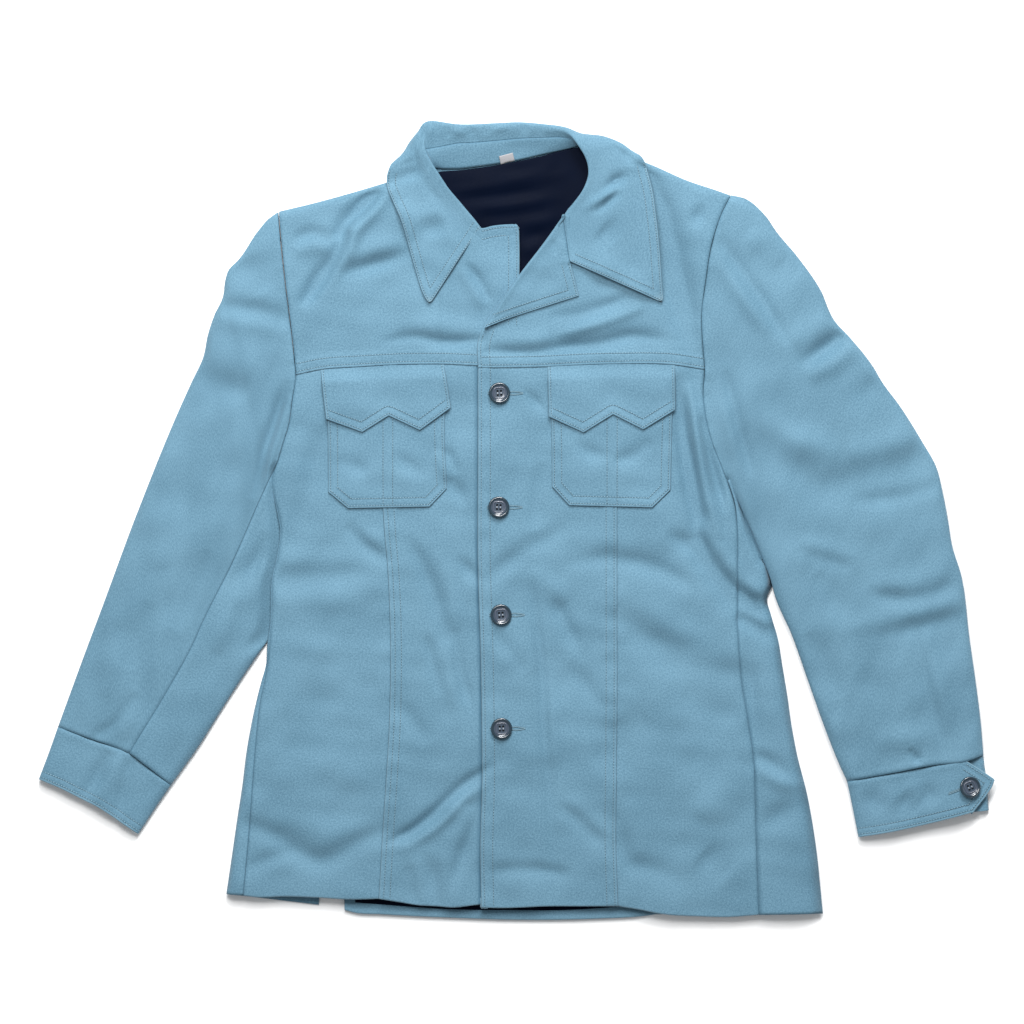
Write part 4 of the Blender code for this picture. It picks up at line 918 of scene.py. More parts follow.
SLEEVE_FOLDS = [
    (-3.0, 8.4, (-284, 200), (-257, 195), (-242, 193), (-202, 180)),
    (2.7, 9.6, (-285, 188), (-248, 183), (-205, 171)),
    (2.8, 10.8, (-268, 210), (-237, 206), (-209, 199)),
    (-2.8, 15.6, (-254, 243), (-237, 209)),
    (-3.7, 12.0, (-305, 136), (-280, 126), (-248, 116)),
    (3.0, 14.4, (-295, 158), (-261, 146), (-229, 134)),
    (-5.2, 5.4, (-213, 130), (-226, 87), (-235, 60), (-245, 19)),
    (3.8, 4.2, (-210, 116), (-220, 83), (-227, 60), (-234, 27)),
    (-2.3, 13.2, (-318, 58), (-306, -13)),
    (2.3, 14.4, (-342, 27), (-330, -47)),
    (3.7, 9.6, (-232, -40), (-261, -75), (-279, -126)),
    (-3.7, 7.2, (-232, -12), (-246, -49), (-254, -74)),
    (-2.3, 12.0, (-286, -29), (-317, -103)),
    (-2.3, 6.0, (-353, -162), (-372, -189), (-398, -206)),
    (2.3, 10.8, (-366, -105), (-386, -166)),
    (-2.1, 12.0, (-340, -77), (-362, -139)),
    (-4.0, 7.2, (186, 265), (204, 237), (224, 208), (253, 163)),
    (3.7, 8.4, (184, 249), (206, 213), (237, 171)),
    (-3.0, 16.8, (222, 252), (259, 222)),
    (3.3, 12.0, (215, 265), (245, 235)),
    (-5.8, 7.2, (261, 143), (287, 159), (313, 180)),
    (3.5, 8.4, (268, 131), (297, 146), (322, 166)),
    (3.2, 10.8, (254, 164), (297, 186)),
    (-2.1, 9.6, (313, 112), (344, 135)),
    (-5.2, 16.8, (213, 87), (254, 46), (278, 31), (312, 34), (350, 47), (407, 71)),
    (2.8, 12.0, (308, 59), (338, 67), (372, 75)),
    (3.3, 12.0, (227, 93), (264, 73), (301, 61)),
    (-2.7, 7.2, (309, 16), (357, 21), (405, 36)),
    (-3.3, 6.0, (194, 138), (203, 97), (211, 69), (220, 39)),
    (2.1, 7.2, (188, 130), (198, 81), (209, 34)),
    (-3.5, 8.4, (326, -69), (362, -74), (380, -72), (408, -59)),
    (2.7, 9.6, (307, -100), (357, -89), (384, -83), (424, -75)),
    (-2.3, 8.4, (325, -110), (375, -100), (416, -89)),
    (2.1, 10.8, (324, -59), (366, -60), (405, -48)),
    (-2.5, 7.2, (366, -89), (377, -131), (384, -161), (395, -207)),
    (2.8, 8.4, (379, -100), (390, -150), (402, -203)),
    (1.5, 7.2, (262, -20), (288, -28), (316, -36)),
    (-1.5, 7.2, (259, -29), (288, -38), (312, -46)),
    (2.8, 10.8, (238, -135), (250, -177)),
    (-2.3, 10.8, (271, -105), (301, -166)),
    (-2.7, 4.2, (364, -214), (375, -227)),
    (2.5, 10.8, (331, -208), (392, -201)),
    (-2.3, 14.4, (313, -147), (363, -171)),
    (-2.5, 12.0, (278, -51), (315, -100)),
    (-3.2, 7.2, (-378, -215), (-389, -238), (-406, -264)),
    (2.3, 8.4, (-368, -218), (-380, -243), (-391, -265)),
    (-2.8, 6.6, (-358, -219), (-365, -252), (-374, -282)),
    (-1.7, 9.6, (320, -254), (343, -269)),
    (-1.5, 9.6, (354, -258), (372, -274)),
    (1.3, 9.6, (335, -253), (360, -263)),
    (-1.7, 8.4, (374, -248), (392, -264)),
    (1.3, 8.4, (359, -247), (377, -259)),
]
# Outer folds, the seam that shows, inner folds and cuff seams, in mm
OUTER_L = [
    (-222, 285.5), (-231, 279), (-240.5, 268), (-258, 242), (-268.4, 230.6), (-271, 222), (-273, 207),
    (-281, 190), (-287, 172), (-291, 152), (-302, 128), (-312, 106), (-353, 5.6), (-387.4, -87),
    (-397, -112.5), (-426.5, -193),
]
SEAM_L = [
    (-222.5, 52), (-234.4, 27), (-263.7, -40), (-294.4, -101.8), (-299, -112.5), (-327, -163.7),
    (-360, -217.5),
]
INNER_L = [
    (-216, 40), (-217, 10), (-216, -12), (-219, -36), (-223, -60), (-226.5, -95), (-231, -112),
    (-238.6, -123), (-280.5, -187), (-290.7, -203.7), (-321.4, -247.4),
]
OUTER_R = [
    (199.4, 301.3), (211.5, 298.5), (231, 282.7), (242, 267), (260.8, 244.6), (282.2, 214), (296, 184),
    (309, 170), (332.4, 140.4), (339, 129), (356.6, 105), (378, 70.7), (390, 49.3), (396.6, 24.2),
    (402, -4.7), (405, -24), (413.3, -51), (421.6, -112.5), (426.8, -148.8), (431.9, -189.7),
    (434.3, -219.5),
]
INNER_R = [
    (195.7, 36), (208.7, 10.2), (227.3, -33.5), (235.7, -55), (241.2, -74.4), (255.2, -106),
    (270, -147.4), (284, -187), (300.8, -229.7), (307.3, -243.7),
]
CUFF_SEAM_L = [(-426.5, -193), (-412, -198.5), (-397.7, -203.7), (-376.3, -211), (-360, -217.5),
               (-339, -233.4), (-321.4, -247.4)]
CUFF_SEAM_R = [(307.3, -243.7), (328, -240), (350, -236), (391, -228.3), (417, -225.6), (434.3, -219.5)]
ARMHOLE_L_ALL = ARMHOLE_L + ARMHOLE_L_LOW[1:4] + [(-222.5, 52)]
ARMHOLE_R_ALL = ARMHOLE_R_LOW[::-1] + ARMHOLE_R[-2::-1]
# Where columns of cloth stand round a sleeve's fold; those below 0 go under it
WRAP = (-26, -20, -14, -10, -7, -4.6, -2.8, -1.4, -0.5, 0, 0.5, 1.4, 2.8, 4.6, 7, 9.5)

sleeve_outlines = {"left": (curve(OUTER_L), curve(INNER_L)), "right": (curve(OUTER_R), curve(INNER_R))}


def sleeve_height(place, side, armhole):
    """A sleeve's top: fuller than the body past the armhole, creased at the elbow."""
    outer, inner = sleeve_outlines[side]
    gap = np.minimum(nearest(place, outer)[0], nearest(place, inner)[0])
    away = nearest(place, armhole)[0]
    high = 9.2 + (1.8 + 2.6 * ramp(away, 2, 55)) * (1 - np.exp(-gap / 22))
    high += (crease(place, SLEEVE_FOLDS) + waves(place, 5, 0.85)) * ramp(gap, 0, 7)
    if side == "left":
        tucked = ramp(place[..., 1], -128, -106) * (1 - ramp(nearest(place, inner)[0], 2, 17))
        high = high * (1 - tucked) + 3.1 * tucked
    return np.maximum(high, 3.0)


# Left top sleeve
armhole = curve(ARMHOLE_L_ALL)
outer, inner = sleeve_outlines["left"]
cut = panel(armhole, curve(CUFF_SEAM_L[:5]), outer, curve(SEAM_L), (WRAP, SEAM, SEAM, SEAM), cell=2.8)
outer_gap = nearest(cut.place, outer)[0] * np.sign(cut.left + 1e-9)
height = turned(sleeve_height(cut.place, "left", armhole), ON_TABLE, outer_gap, 9)
height += (plain_seam(cut.right) * 0.8 + plain_seam(cut.top) + plain_seam(cut.bottom)) * (cut.left > 0)
height += pucker(cut.place, cut.top, armhole, 51, 0.2, 7)
# Painted shade with some dirt in its seams.
sew("sleeve_top_left", cut.place, height,
    shade_and_dirt=0.5 * near(cut.top, 0.6) + 0.45 * near(cut.right, 0.6) + 0.6 * near(cut.bottom, 0.7))

# Left under sleeve, on round the inner fold and back under the top one
cut = panel(
    curve([SEAM_L[0], INNER_L[0]]), curve(CUFF_SEAM_L[4:]), curve(SEAM_L), inner,
    (SEAM, WRAP[9:], SEAM, SEAM), cell=2.8,
)
height = sleeve_height(cut.place, "left", armhole)
inner_gap = nearest(cut.place, inner)[0]
height = turned(height, ON_TABLE, inner_gap, 8) + plain_seam(cut.left) * 0.8 + plain_seam(cut.bottom)
fold = cut.place[:, -1:]
far = at(outer, np.linspace(0, 1, len(fold)))[:, None]
reach = np.r_[0.01, 0.03, 0.06, 0.1, np.linspace(0.17, 0.84, 16)][None, :, None]
under = fold + (far - fold) * reach
under_gap = np.linalg.norm(under - fold, axis=2)
under_height = turned(np.minimum(height[:, -1:], 4.0), ON_TABLE, -under_gap, 5)
# Painted shade with some dirt in its seams.
shade_and_dirt = 0.45 * near(cut.left, 0.6) + 0.6 * near(cut.bottom, 0.7)
sew("sleeve_under_left", np.hstack([cut.place, under]),
    np.hstack([height, np.minimum(under_height, height[:, -1:])]),
    shade_and_dirt=np.hstack([shade_and_dirt, np.zeros(under_gap.shape)]))

# Right top sleeve, round both folds
armhole = curve(ARMHOLE_R_ALL)
outer, inner = sleeve_outlines["right"]
cut = panel(armhole, curve(CUFF_SEAM_R), inner, outer, (WRAP, WRAP, SEAM, SEAM), cell=2.8)
side_gap = np.where(
    cut.left < cut.right, nearest(cut.place, inner)[0] * np.sign(cut.left + 1e-9),
    nearest(cut.place, outer)[0] * np.sign(cut.right + 1e-9),
)
height = turned(sleeve_height(cut.place, "right", armhole), ON_TABLE, side_gap, 9)
on_top = (cut.left > 0) & (cut.right > 0)
height += (plain_seam(cut.top) + plain_seam(cut.bottom)) * on_top
height += pucker(cut.place, cut.top, armhole, 52, 0.2, 7)
# Painted shade with some dirt in its seams.
sew("sleeve_top_right", cut.place, height,
    shade_and_dirt=0.5 * near(cut.top, 0.6) + 0.6 * near(cut.bottom, 0.7))

# Right under sleeve, flat on the table
cut = panel(armhole, curve(CUFF_SEAM_R), inner, outer, ((14, 18), (14, 18), (0, 2), (0, 2)), cell=7)
place = cut.place[:, 1:-1]
sew("sleeve_under_right", place, np.full(place.shape[:2], 1.15))


# ------------------------------------------------------------------ cuffs
# Straight bands of doubled twill on the sleeve ends, edge-stitched twice at the hem. The left one
# lies shut with its fastening out of sight; the right one closes with a pointed, buttoned tab.

CUFF_HEM_L = [(-444.5, -242), (-424, -250.5), (-405, -260), (-390, -267.5), (-376.3, -276.2),
              (-364, -285), (-352, -293)]
CUFF_HEM_R = [(318, -296), (340, -292.5), (378, -284.5), (400, -279), (425.5, -272.5), (439.5, -271)]
CUFF_OUTER_L = [(-426.5, -193), (-435, -217), (-444.5, -242)]
CUFF_INNER_L = [(-321.4, -247.4), (-329.8, -259.5), (-352, -293)]
CUFF_OUTER_R = [(434.3, -219.5), (437.5, -245), (439.5, -271)]
CUFF_INNER_R = [(307.3, -243.7), (312, -266), (318, -296)]
TAB_SEAM = CUFF_SEAM_R[:4] + [(410, -225.8), (419, -225.3)]
TAB_HEM = CUFF_HEM_R[:4] + [(424.5, -272.5)]
TAB_EDGE = [(419, -225.3), (432, -233.5), (444.6, -242), (442, -249), (436, -258), (424.5, -272.5)]
CUFF_ROWS = (2.8, 8.4)
# Where rows stand above a cuff's hem, and columns inside its folds
cuff_hem = (0, 0.35, 0.8, 1.6, 2.8, 3.8, 5.5, 7.5, 8.4, 9.4)
around = (0, 0.4, 1, 2, 3.4, 5.5)


def cuff_height(place, gap, crown):
    """A cuff's top: a soft crown inside its folds, with the sleeve's creases."""
    high = 9.0 + crown * (1 - np.exp(-gap / 20))
    return high + (crease(place, SLEEVE_FOLDS) + waves(place, 9, 0.5)) * ramp(gap, 0, 6)


def and_back(values):
    """Columns of a cuff's top, and the same again in return for its underside."""
    return np.hstack([values, values[:, -2::-1]])


cut = panel(
    curve(CUFF_SEAM_L), curve(CUFF_HEM_L), curve(CUFF_OUTER_L), curve(CUFF_INNER_L),
    (around, around, SEAM, cuff_hem), cell=2.0,
)
edge_gap = np.minimum(cut.left, cut.right)
high = cuff_height(cut.place, edge_gap, 2.6)
top_height = turned(high, ON_TABLE, edge_gap, 8)
low_height = np.minimum(turned(high, ON_TABLE, -edge_gap, 8), top_height - 0.2)
hem_turn = turned(0.0, -1.2, cut.bottom, 1.1) + rows_dip(cut.bottom, *CUFF_ROWS)
height = np.hstack([top_height + plain_seam(cut.top) + hem_turn, low_height[:, -2::-1]])
height[:, -1] = height[:, 0]
# Wear and a painted highlight at its hem; painted shade in its seam to the sleeve.
sew("cuff_left", and_back(cut.place), height, thick=1.4, closed=True,
    wear_and_highlight=0.5 * near(and_back(cut.bottom)), shade_and_dirt=0.7 * near(and_back(cut.top), 0.8))

# The right cuff's top, out to the tab's point
tab_turn = (-2.5, -1.4, -0.6, 0, 0.35, 0.8, 1.6, 2.6, 4, 5.5, 7.5, 8.4, 9.4)
cut = panel(
    curve(TAB_SEAM), curve(TAB_HEM), curve(CUFF_INNER_R), curve(TAB_EDGE, sharp=True),
    (around, tab_turn, SEAM, cuff_hem), cell=1.9,
)
across = cut.place[..., 0]
on_tab = ramp(across, 400, 440)
high = cuff_height(cut.place, cut.left, 2.8) * (1 - on_tab) + 8.8 * on_tab
height = turned(high, ON_TABLE, cut.left, 8) + 2.0 * ramp(across, 385, 415)
height = turned(height, height - 2.2, cut.right, 1.2)
height += plain_seam(cut.top) * (1 - ramp(across, 400, 418)) + turned(0.0, -1.2, cut.bottom, 1.1)
height += rows_dip(cut.bottom, *CUFF_ROWS) + rows_dip(cut.right, *CUFF_ROWS)

# Its underside, and the lip that goes back in under the tab
low_cut = panel(
    curve(CUFF_SEAM_R), curve(CUFF_HEM_R), curve(CUFF_INNER_R), curve(CUFF_OUTER_R),
    ((0.5, 1.5, 3, 5, 8), (0, 1, 2, 3, 4.6, 7, 10), SEAM, cuff_hem), cell=3.0,
)
rows = len(cut.place)
pick = np.round(np.linspace(0, len(low_cut.place) - 1, rows)).astype(int)
under = low_cut.place[pick]
low = turned(8.0, ON_TABLE, -np.minimum(low_cut.left[pick], low_cut.right[pick] + 2.5), 8)
inward = under[:, -8:-7] - under[:, -1:]
inward = inward / np.linalg.norm(inward, axis=2)[..., None]
steps = (2.0, 5.0, 9.0, 14.0, 19.0)
lip = np.hstack([under[:, -1:] + inward * step for step in steps])
lip_height = np.stack([turned(6.4, ON_TABLE, np.full(rows, step), 5) for step in steps], axis=1)
pad = np.full((rows, lip.shape[1] + under.shape[1]), FAR)
# Wear and a painted highlight at its hem and tab; painted shade in its seam to the sleeve.
sew("cuff_right", np.hstack([lip[:, ::-1], under[:, ::-1], cut.place]),
    np.hstack([lip_height[:, ::-1], np.minimum(low, 5.0)[:, ::-1], height]), thick=1.4,
    wear_and_highlight=0.55 * near(np.hstack([pad, np.minimum(cut.right, cut.bottom)])),
    shade_and_dirt=0.7 * near(np.hstack([pad, cut.top + FAR * (across > 416)]), 0.8))


# ------------------------------------------------------------------ pockets and flaps
# Two patch pockets with clipped lower corners, stitched down all round, and over each a flap with
# two points that is caught in the yoke seam. A double row of stitching runs down each pocket.

# Each: its top, its cornered bottom, and a place on its left and on its right edge. A pocket also
# has the two places across the plan at which its double row of stitching runs down.
POCKETS = {
    "left": ([(-176, 124), (-120, 124), (-65, 124)], [(-175, 25), (-156.5, 9.7), (-81, 11.2), (-64.8, 28.3)],
             (-175.4, 80), (-67, 90), (-124, -115)),
    "right": ([(31, 124), (90, 124), (145.5, 124)], [(33, 30), (49, 12.5), (126, 10.5), (143, 27)],
              (32.6, 80), (144.5, 90), (84, 93.4)),
}
FLAPS = {
    "left": ([(-182, 138.6), (-145, 141), (-120, 142.3), (-90, 143.3), (-67.5, 143.5)],
             [(-177, 92.6), (-143.3, 80.4), (-118.7, 95.8), (-89.8, 82.2), (-61, 103.2)],
             (-180, 118), (-64, 122)),
    "right": ([(29, 141.4), (62, 143), (90, 143.8), (118, 143.8), (147, 143)],
              [(30, 94.9), (62.2, 80), (89.6, 97), (117.6, 82.8), (147.7, 101.4)],
              (29.4, 118), (147.4, 122)),
}


def four_sides(top, bottom, left, right):
    """The lines round a pocket or flap: top, bottom, left and right."""
    return (
        curve(top, by=0), curve(bottom, sharp=True), curve([top[0], left, bottom[0]], by=1),
        curve([top[-1], right, bottom[-1]], by=1),
    )


def corner_shares(line):
    """Shares of a cornered line at which its corners stand."""
    run = run_of(np.array(line, float))
    return run[1:-1] / run[-1]


POCKET_ROWS = (2.3, 9.0)
pocket_edges = (0, 0.35, 0.8, 1.6, 2.3, 3.2, 5, 7.4, 9.0, 9.8)
flap_edges = (0, 0.35, 0.8, 1.6, 2.3, 3.2, 4.6)
for side, (*sides, rows) in POCKETS.items():
    cut = panel(
        *four_sides(*sides), (pocket_edges, pocket_edges, (0, 2), pocket_edges), cell=2.0,
        snap=corner_shares(sides[1]),
    )
    edge = np.minimum.reduce([cut.left, cut.right, cut.bottom])
    across = cut.place[..., 0]
    raised = front_height(cut.place)[0] + front_step(cut.place) * (side == "right")
    raised = raised + 2.1 + 0.7 * ramp(edge, 8, 30)
    height = turned(raised, raised - 1.6, edge, 1.1) + rows_dip(edge, *POCKET_ROWS)
    height += rows_dip(across, *rows) - 0.25 * near(across - rows[0], 3)
    height += pucker(cut.place, edge - 4, curve(sides[1]), 61, 0.14, 8)
    # Wear and a painted highlight round its edges.
    sew(f"pocket_{side}", cut.place, height,
        wear_and_highlight=0.3 * near(edge, 0.8), thick=0.8)

for side, sides in FLAPS.items():
    cut = panel(
        *four_sides(*sides), (flap_edges, flap_edges, (0, 0.6, 1.4, 2.6), pocket_edges), cell=1.8,
        snap=corner_shares(sides[1]),
    )
    edge = np.minimum.reduce([cut.left, cut.right, cut.bottom])
    lift = 0.5 + 3.6 * ramp(cut.top, 0, 14) + 1.0 * ramp(-cut.bottom, -16, 0)
    raised = front_height(cut.place)[0] + front_step(cut.place) * (side == "right")
    raised = raised + lift + 0.5 * ramp(edge, 4, 16)
    height = turned(raised, raised - 2.0, np.where(cut.top < 3, 9, edge), 1.2)
    height += rows_dip(edge, POCKET_ROWS[0]) + rows_dip(cut.bottom, POCKET_ROWS[1])
    # Wear and a painted highlight round its edges.
    sew(f"flap_{side}", cut.place, height, wear_and_highlight=0.3 * near(edge, 0.8), thick=1.5)


# ------------------------------------------------------------------ collar and stand
# A wide two-piece collar of doubled, stiffened twill. The stand rises inside the neck and the fall
# turns over it: two long points on the fronts, and at the back a fall that lies under the jacket.

# Each row: neck seam, roll, widest place and free edge, each as x, y and height in mm. The rows
# run from the left front round the back of the neck to the right front.
COLLAR = [
    ((-33, 270.5, 8), (-33, 271, 10), (-47, 251, 10.5), (-81, 198.5, 9.5)),
    ((-42, 278.5, 8), (-41, 281, 12), (-55, 262, 11.5), (-88.5, 213, 9.5)),
    ((-54, 290.5, 8), (-52, 294, 14), (-67, 279, 12.5), (-97.5, 243, 9.5)),
    ((-65, 304.5, 8), (-63, 307, 16), (-77, 297, 14), (-107, 276, 9.5)),
    ((-72, 315.5, 8), (-71, 319, 17.5), (-86, 312, 15), (-116, 297, 9.5)),
    ((-75.5, 323.5, 7), (-78, 330, 18), (-92, 325, 15), (-120.5, 310, 10)),
    ((-76, 326, 5.5), (-83.5, 340.5, 18), (-98, 336, 13), (-119.5, 323, 7)),
    ((-73, 326, 4.8), (-86, 351, 17), (-102, 346, 8), (-112, 332, 3)),
    ((-68, 325.5, 4.4), (-86, 361, 16), (-93, 359, 6), (-94, 310, 0.9)),
    ((-60, 325.5, 4.2), (-80, 367.5, 15), (-82, 369.5, 6), (-75, 299, 0.9)),
    ((-49, 326, 4.2), (-52, 363.5, 14), (-52, 366.8, 6), (-48, 298, 0.9)),
    ((-20, 330, 4.2), (-18, 364.8, 14), (-18, 368, 6), (-18, 301, 0.9)),
    ((3, 334, 4.2), (3, 365.5, 14), (3, 368.8, 6), (4, 306, 0.9)),
    ((24, 339, 4.2), (26, 363.8, 14), (27, 366.8, 6), (27, 312, 0.9)),
    ((42, 343, 4.2), (42, 361.5, 15), (46, 364, 6), (50, 317, 0.9)),
    ((52, 345.5, 4.4), (49, 357, 16), (62, 358, 6), (72, 322, 0.9)),
    ((58, 347.5, 4.8), (54, 350.5, 17.5), (83, 355, 6), (92, 330, 0.9)),
    ((63, 349.5, 5.2), (59, 344, 18), (101, 347.2, 8), (111, 339.5, 3)),
    ((64.6, 345, 7.2), (63, 337, 18), (97, 342, 13), (119, 332, 7)),
    ((67.2, 335, 8.4), (66, 328, 17.5), (89, 331.5, 16), (122, 322, 12)),
    ((66.9, 321.7, 8.4), (66, 317, 16.5), (85, 315, 16), (126.5, 304, 14.5)),
    ((61.6, 305.3, 8.4), (61, 305, 15.5), (80, 301, 16), (130, 278, 16.5)),
    ((53.9, 294.8, 8.4), (53, 294, 14), (71, 285, 15.5), (132.5, 254, 16.5)),
    ((47, 286, 8.4), (47, 287, 12.5), (62, 273, 14.5), (134.5, 226, 15.5)),
    ((43.8, 280.2, 8), (43, 280.5, 11), (49.4, 239.2, 13), (136.5, 200.5, 12.5)),
]
COLLAR_FOLDS = [
    (-3.8, 3.6, (68, 282), (83, 293), (98, 304)),
    (-5.2, 5.4, (70, 297), (85, 308), (104, 321)),
    (6.3, 3.6, (61, 286), (78, 298), (96, 310)),
    (-2.6, 12.0, (78, 271), (92, 258)),
    (3.0, 7.2, (104, 323), (117, 341)),
    (-2.6, 10.8, (-83, 282), (-75, 259)),
    (2.4, 9.6, (-107, 297), (-97, 259)),
    (-2.2, 9.6, (-101, 334), (-94, 315)),
    (-4.9, 3.1, (-83, 369), (-86, 358), (-83, 346)),
    (3.8, 3.6, (-80, 367), (-81, 356), (-80, 347)),
    (-2.4, 3.6, (-65, 365), (-62, 354)),
    (2.0, 4.8, (-54, 365), (-53, 354)),
    (-2.2, 4.2, (-45, 365), (-41, 356)),
    (-2.0, 4.2, (-30, 365), (-27, 357)),
    (2.0, 6.0, (-15, 367), (-13, 359)),
    (-2.2, 4.8, (18, 365), (26, 358)),
    (-2.6, 3.6, (-71, 334), (-53, 339), (-25, 340)),
    (-3.0, 4.2, (3, 367), (12, 358)),
    (-2.6, 4.8, (-43, 362), (-36, 352)),
    (-3.4, 3.6, (34, 259), (37, 249)),
]

stations = np.array(COLLAR, float)
count = len(stations)
fine = np.linspace(0, count - 1, 361)


def through(values):
    """Smooth values through every row of the collar."""
    rows = np.arange(count, dtype=float)
    slope = np.diff(values, axis=0)
    lean = np.vstack([slope[:1], (slope[1:] + slope[:-1]) / 2, slope[-1:]])
    k = np.clip(fine.astype(int), 0, count - 2)
    u = (fine - rows[k])[:, None]
    straight = values[k] * (1 - u) + values[k + 1] * u
    return straight + u * (1 - u) * ((lean[k] - slope[k]) * (1 - u) - (lean[k + 1] - slope[k]) * u)


# Along the collar: its neck seam, roll, widest line and free edge, and four lines between them
neck, roll, out, tip = (through(stations[:, column]) for column in range(4))
under_back = ramp(-tip[:, 2], -6.5, -1.2)[:, None]
base = neck + (roll - neck) * (0.62 + 0.34 * ramp(np.abs(neck[:, :1] + 4), 52, 68))
back_of_neck = np.minimum(base[:, 1], 343.4 + 0.195 * (base[:, 0] + 84.3))
base[:, 1] = np.where(base[:, 0] < 2, back_of_neck, base[:, 1])
crown = roll + (out - roll) * 0.42
crown[:, 2] += 0.4 * np.abs(roll - out)[:, 2]
fall = out + (tip - out) * (0.5 - 0.2 * under_back)
fall[:, 2] += (tip[:, 2] - fall[:, 2]) * under_back[:, 0]
last = fall + (tip - fall) * 0.55

COLLAR_ROWS = (0, 0.35, 0.8, 1.4, 1.9, 2.6, 4, 5.6, 7.2, 8.4, 9.4)
length = run_of(out)
from_start = spread(length[-1:], COLLAR_ROWS, COLLAR_ROWS, 2.2)[0] * length[-1]
from_end = length[-1] - from_start
pick = np.interp(from_start, length, fine)


def row_at(values):
    """Values at the columns of the collar's cloth."""
    return np.column_stack([np.interp(pick, fine, column) for column in values.T])


# Across it: from the stand over the roll to the free edge, with cornered sections at the right end
controls = np.stack([row_at(v) for v in (base, roll, crown, out, fall, last, tip)], axis=1)
lines_across = []
for row, to_end in zip(controls, from_end):
    cornered = float(1 - ramp(to_end, 0, 14))
    sharp_row = curve(row[[0, 1, 3, 6]], sharp=True, count=160)
    lines_across.append(curve(row, count=160) * (1 - cornered) + sharp_row * cornered)
reach = np.array([np.linalg.norm(np.diff(line, axis=0), axis=1).sum() for line in lines_across])
shares = spread(reach, (0, 1, 2), COLLAR_ROWS, 1.9)
collar = np.array([at(line, share) for line, share in zip(lines_across, shares)])
from_edge = (1 - shares) * reach[:, None]
from_end = from_end[:, None]
leaf = (1 - np.interp(pick, fine, under_back[:, 0]))[:, None]
# Both leaves rest on the fronts; the right one follows the gorge and lifts at the shoulder
place, x, high = collar[..., :2], collar[..., 0], collar[..., 2]
right_leaf = x > 0
bed, _ = front_height(place)
bed = bed + front_step(place) * right_leaf
past_roll = ramp(shares, 0.16, 0.4) * leaf
resting = np.maximum(high, bed + 2.9 + 0.8 * ramp(from_edge, 4, 30))
high[:] = high * (1 - past_roll) + resting * past_roll
gorge = near(from_end, 9) * ramp(-x, -66, -52) * right_leaf
high[:] = high * (1 - gorge) + (bed + 4.5) * gorge
high += 3.4 * near(from_end - 4, 22) * ramp(x, 56, 80) * ramp(-x, -134, -112)
lapel_side = ramp(49.4 - x, 0, 3)
free = np.minimum.reduce([
    from_edge, np.where(x < 0, from_start[:, None], FAR),
    np.where(right_leaf, from_end + 30 * lapel_side, FAR),
])
high += turned(0.0, -2.0, free, 0.9) * past_roll
high -= 0.9 * near(from_end, 0.8) * lapel_side * right_leaf
relief = rows_dip(free, *COLLAR_STITCHING) + crease(place, COLLAR_FOLDS) + waves(place, 12, 0.35)
high += relief * np.maximum(past_roll, 0.35 * (shares < 0.5))

# The cloth's rows run from the free edge in, and its two points are rounded
cloth = collar.transpose(1, 0, 2)[::-1]
# Its two points are worn pale.
paled = sum(near(np.linalg.norm(cloth[..., :2] - point, axis=2), 6) for point in ((-81, 199), (136, 201)))
ROUND = 2.3
for point, inward in (((-81, 198.5), (0.05, 1)), ((136.5, 200.5), (-0.5, 0.86))):
    inward = np.array(inward) / np.linalg.norm(inward)
    centre = np.array(point) + inward * 5.4
    offset = cloth[..., :2] - centre
    reach = np.linalg.norm(offset, axis=2)
    outer = (offset @ -inward > 0.9) & (reach > ROUND) & (reach < 9)
    share = np.where(outer, ROUND / np.maximum(reach, 0.1) * (1 + 0.04 * (reach - ROUND)), 1)
    cloth[..., :2] = centre + offset * share[..., None]
# Wear and a painted highlight along its free edge, and real wear at its points.
sew("collar", cloth[..., :2], cloth[..., 2], thick=1.8,
    wear_and_highlight=0.35 * near(free.T[::-1], 0.9) + 0.8 * paled)

# The stand, from the neck seam up to the collar
stand_base, stand_top = row_at(neck), row_at(base)
shares = np.linspace(0, 1, 12)[None, :, None]
stand = stand_base[:, None] + (stand_top - stand_base)[:, None] * shares
stand = stand.transpose(1, 0, 2)[::-1]
seam_gap = np.linalg.norm(stand - stand[:1], axis=2)
base_gap = np.linalg.norm(stand - stand[-1:], axis=2)
uneven = waves(stand[..., :2], 33, 0.5) * near(np.minimum(seam_gap, base_gap) - 9, 7)
stand[..., 2] += 0.5 * ramp(seam_gap, 0, 3) + 0.4 * ramp(base_gap, 0, 3) + uneven
# Painted shade with some dirt in its two seams.
sew("collar_stand", stand[..., :2], stand[..., 2], thick=1.2,
    shade_and_dirt=0.6 * near(seam_gap, 0.6) + 0.6 * near(base_gap, 0.8))


# ------------------------------------------------------------------ label
# A small folded stub of plain white tape, caught at the back of the neck. It is left bare.

tape = Finish("white_tape")
ribbing = tape.node("ShaderNodeMapping", {}, {"Vector": tape.cloth_place(), "Scale": (1.0, 14.0, 1.0)})
fibre = tape.noise(ribbing, 700.0, 2.0)
tape.set(
    Base_Color=tape.mix(fibre, (0.27, 0.27, 0.285, 1), (0.37, 0.37, 0.385, 1)), Roughness=0.55,
    Sheen_Weight=0.1, Normal=tape.relief(fibre, 0.0001),
)


def drop(nodes, point):
    """The highest place on some pieces under a point of the plan, and the way it faces."""
    best = None
    x, y = point + SHIFT[:2]
    for node in nodes:
        hit = SURFACES[node].ray_cast(Vector((x * MM, y * MM, 1)), Vector((0, 0, -1)))
        if hit[0] is not None and (best is None or hit[0].z > best[0].z):
            best = hit
    return best


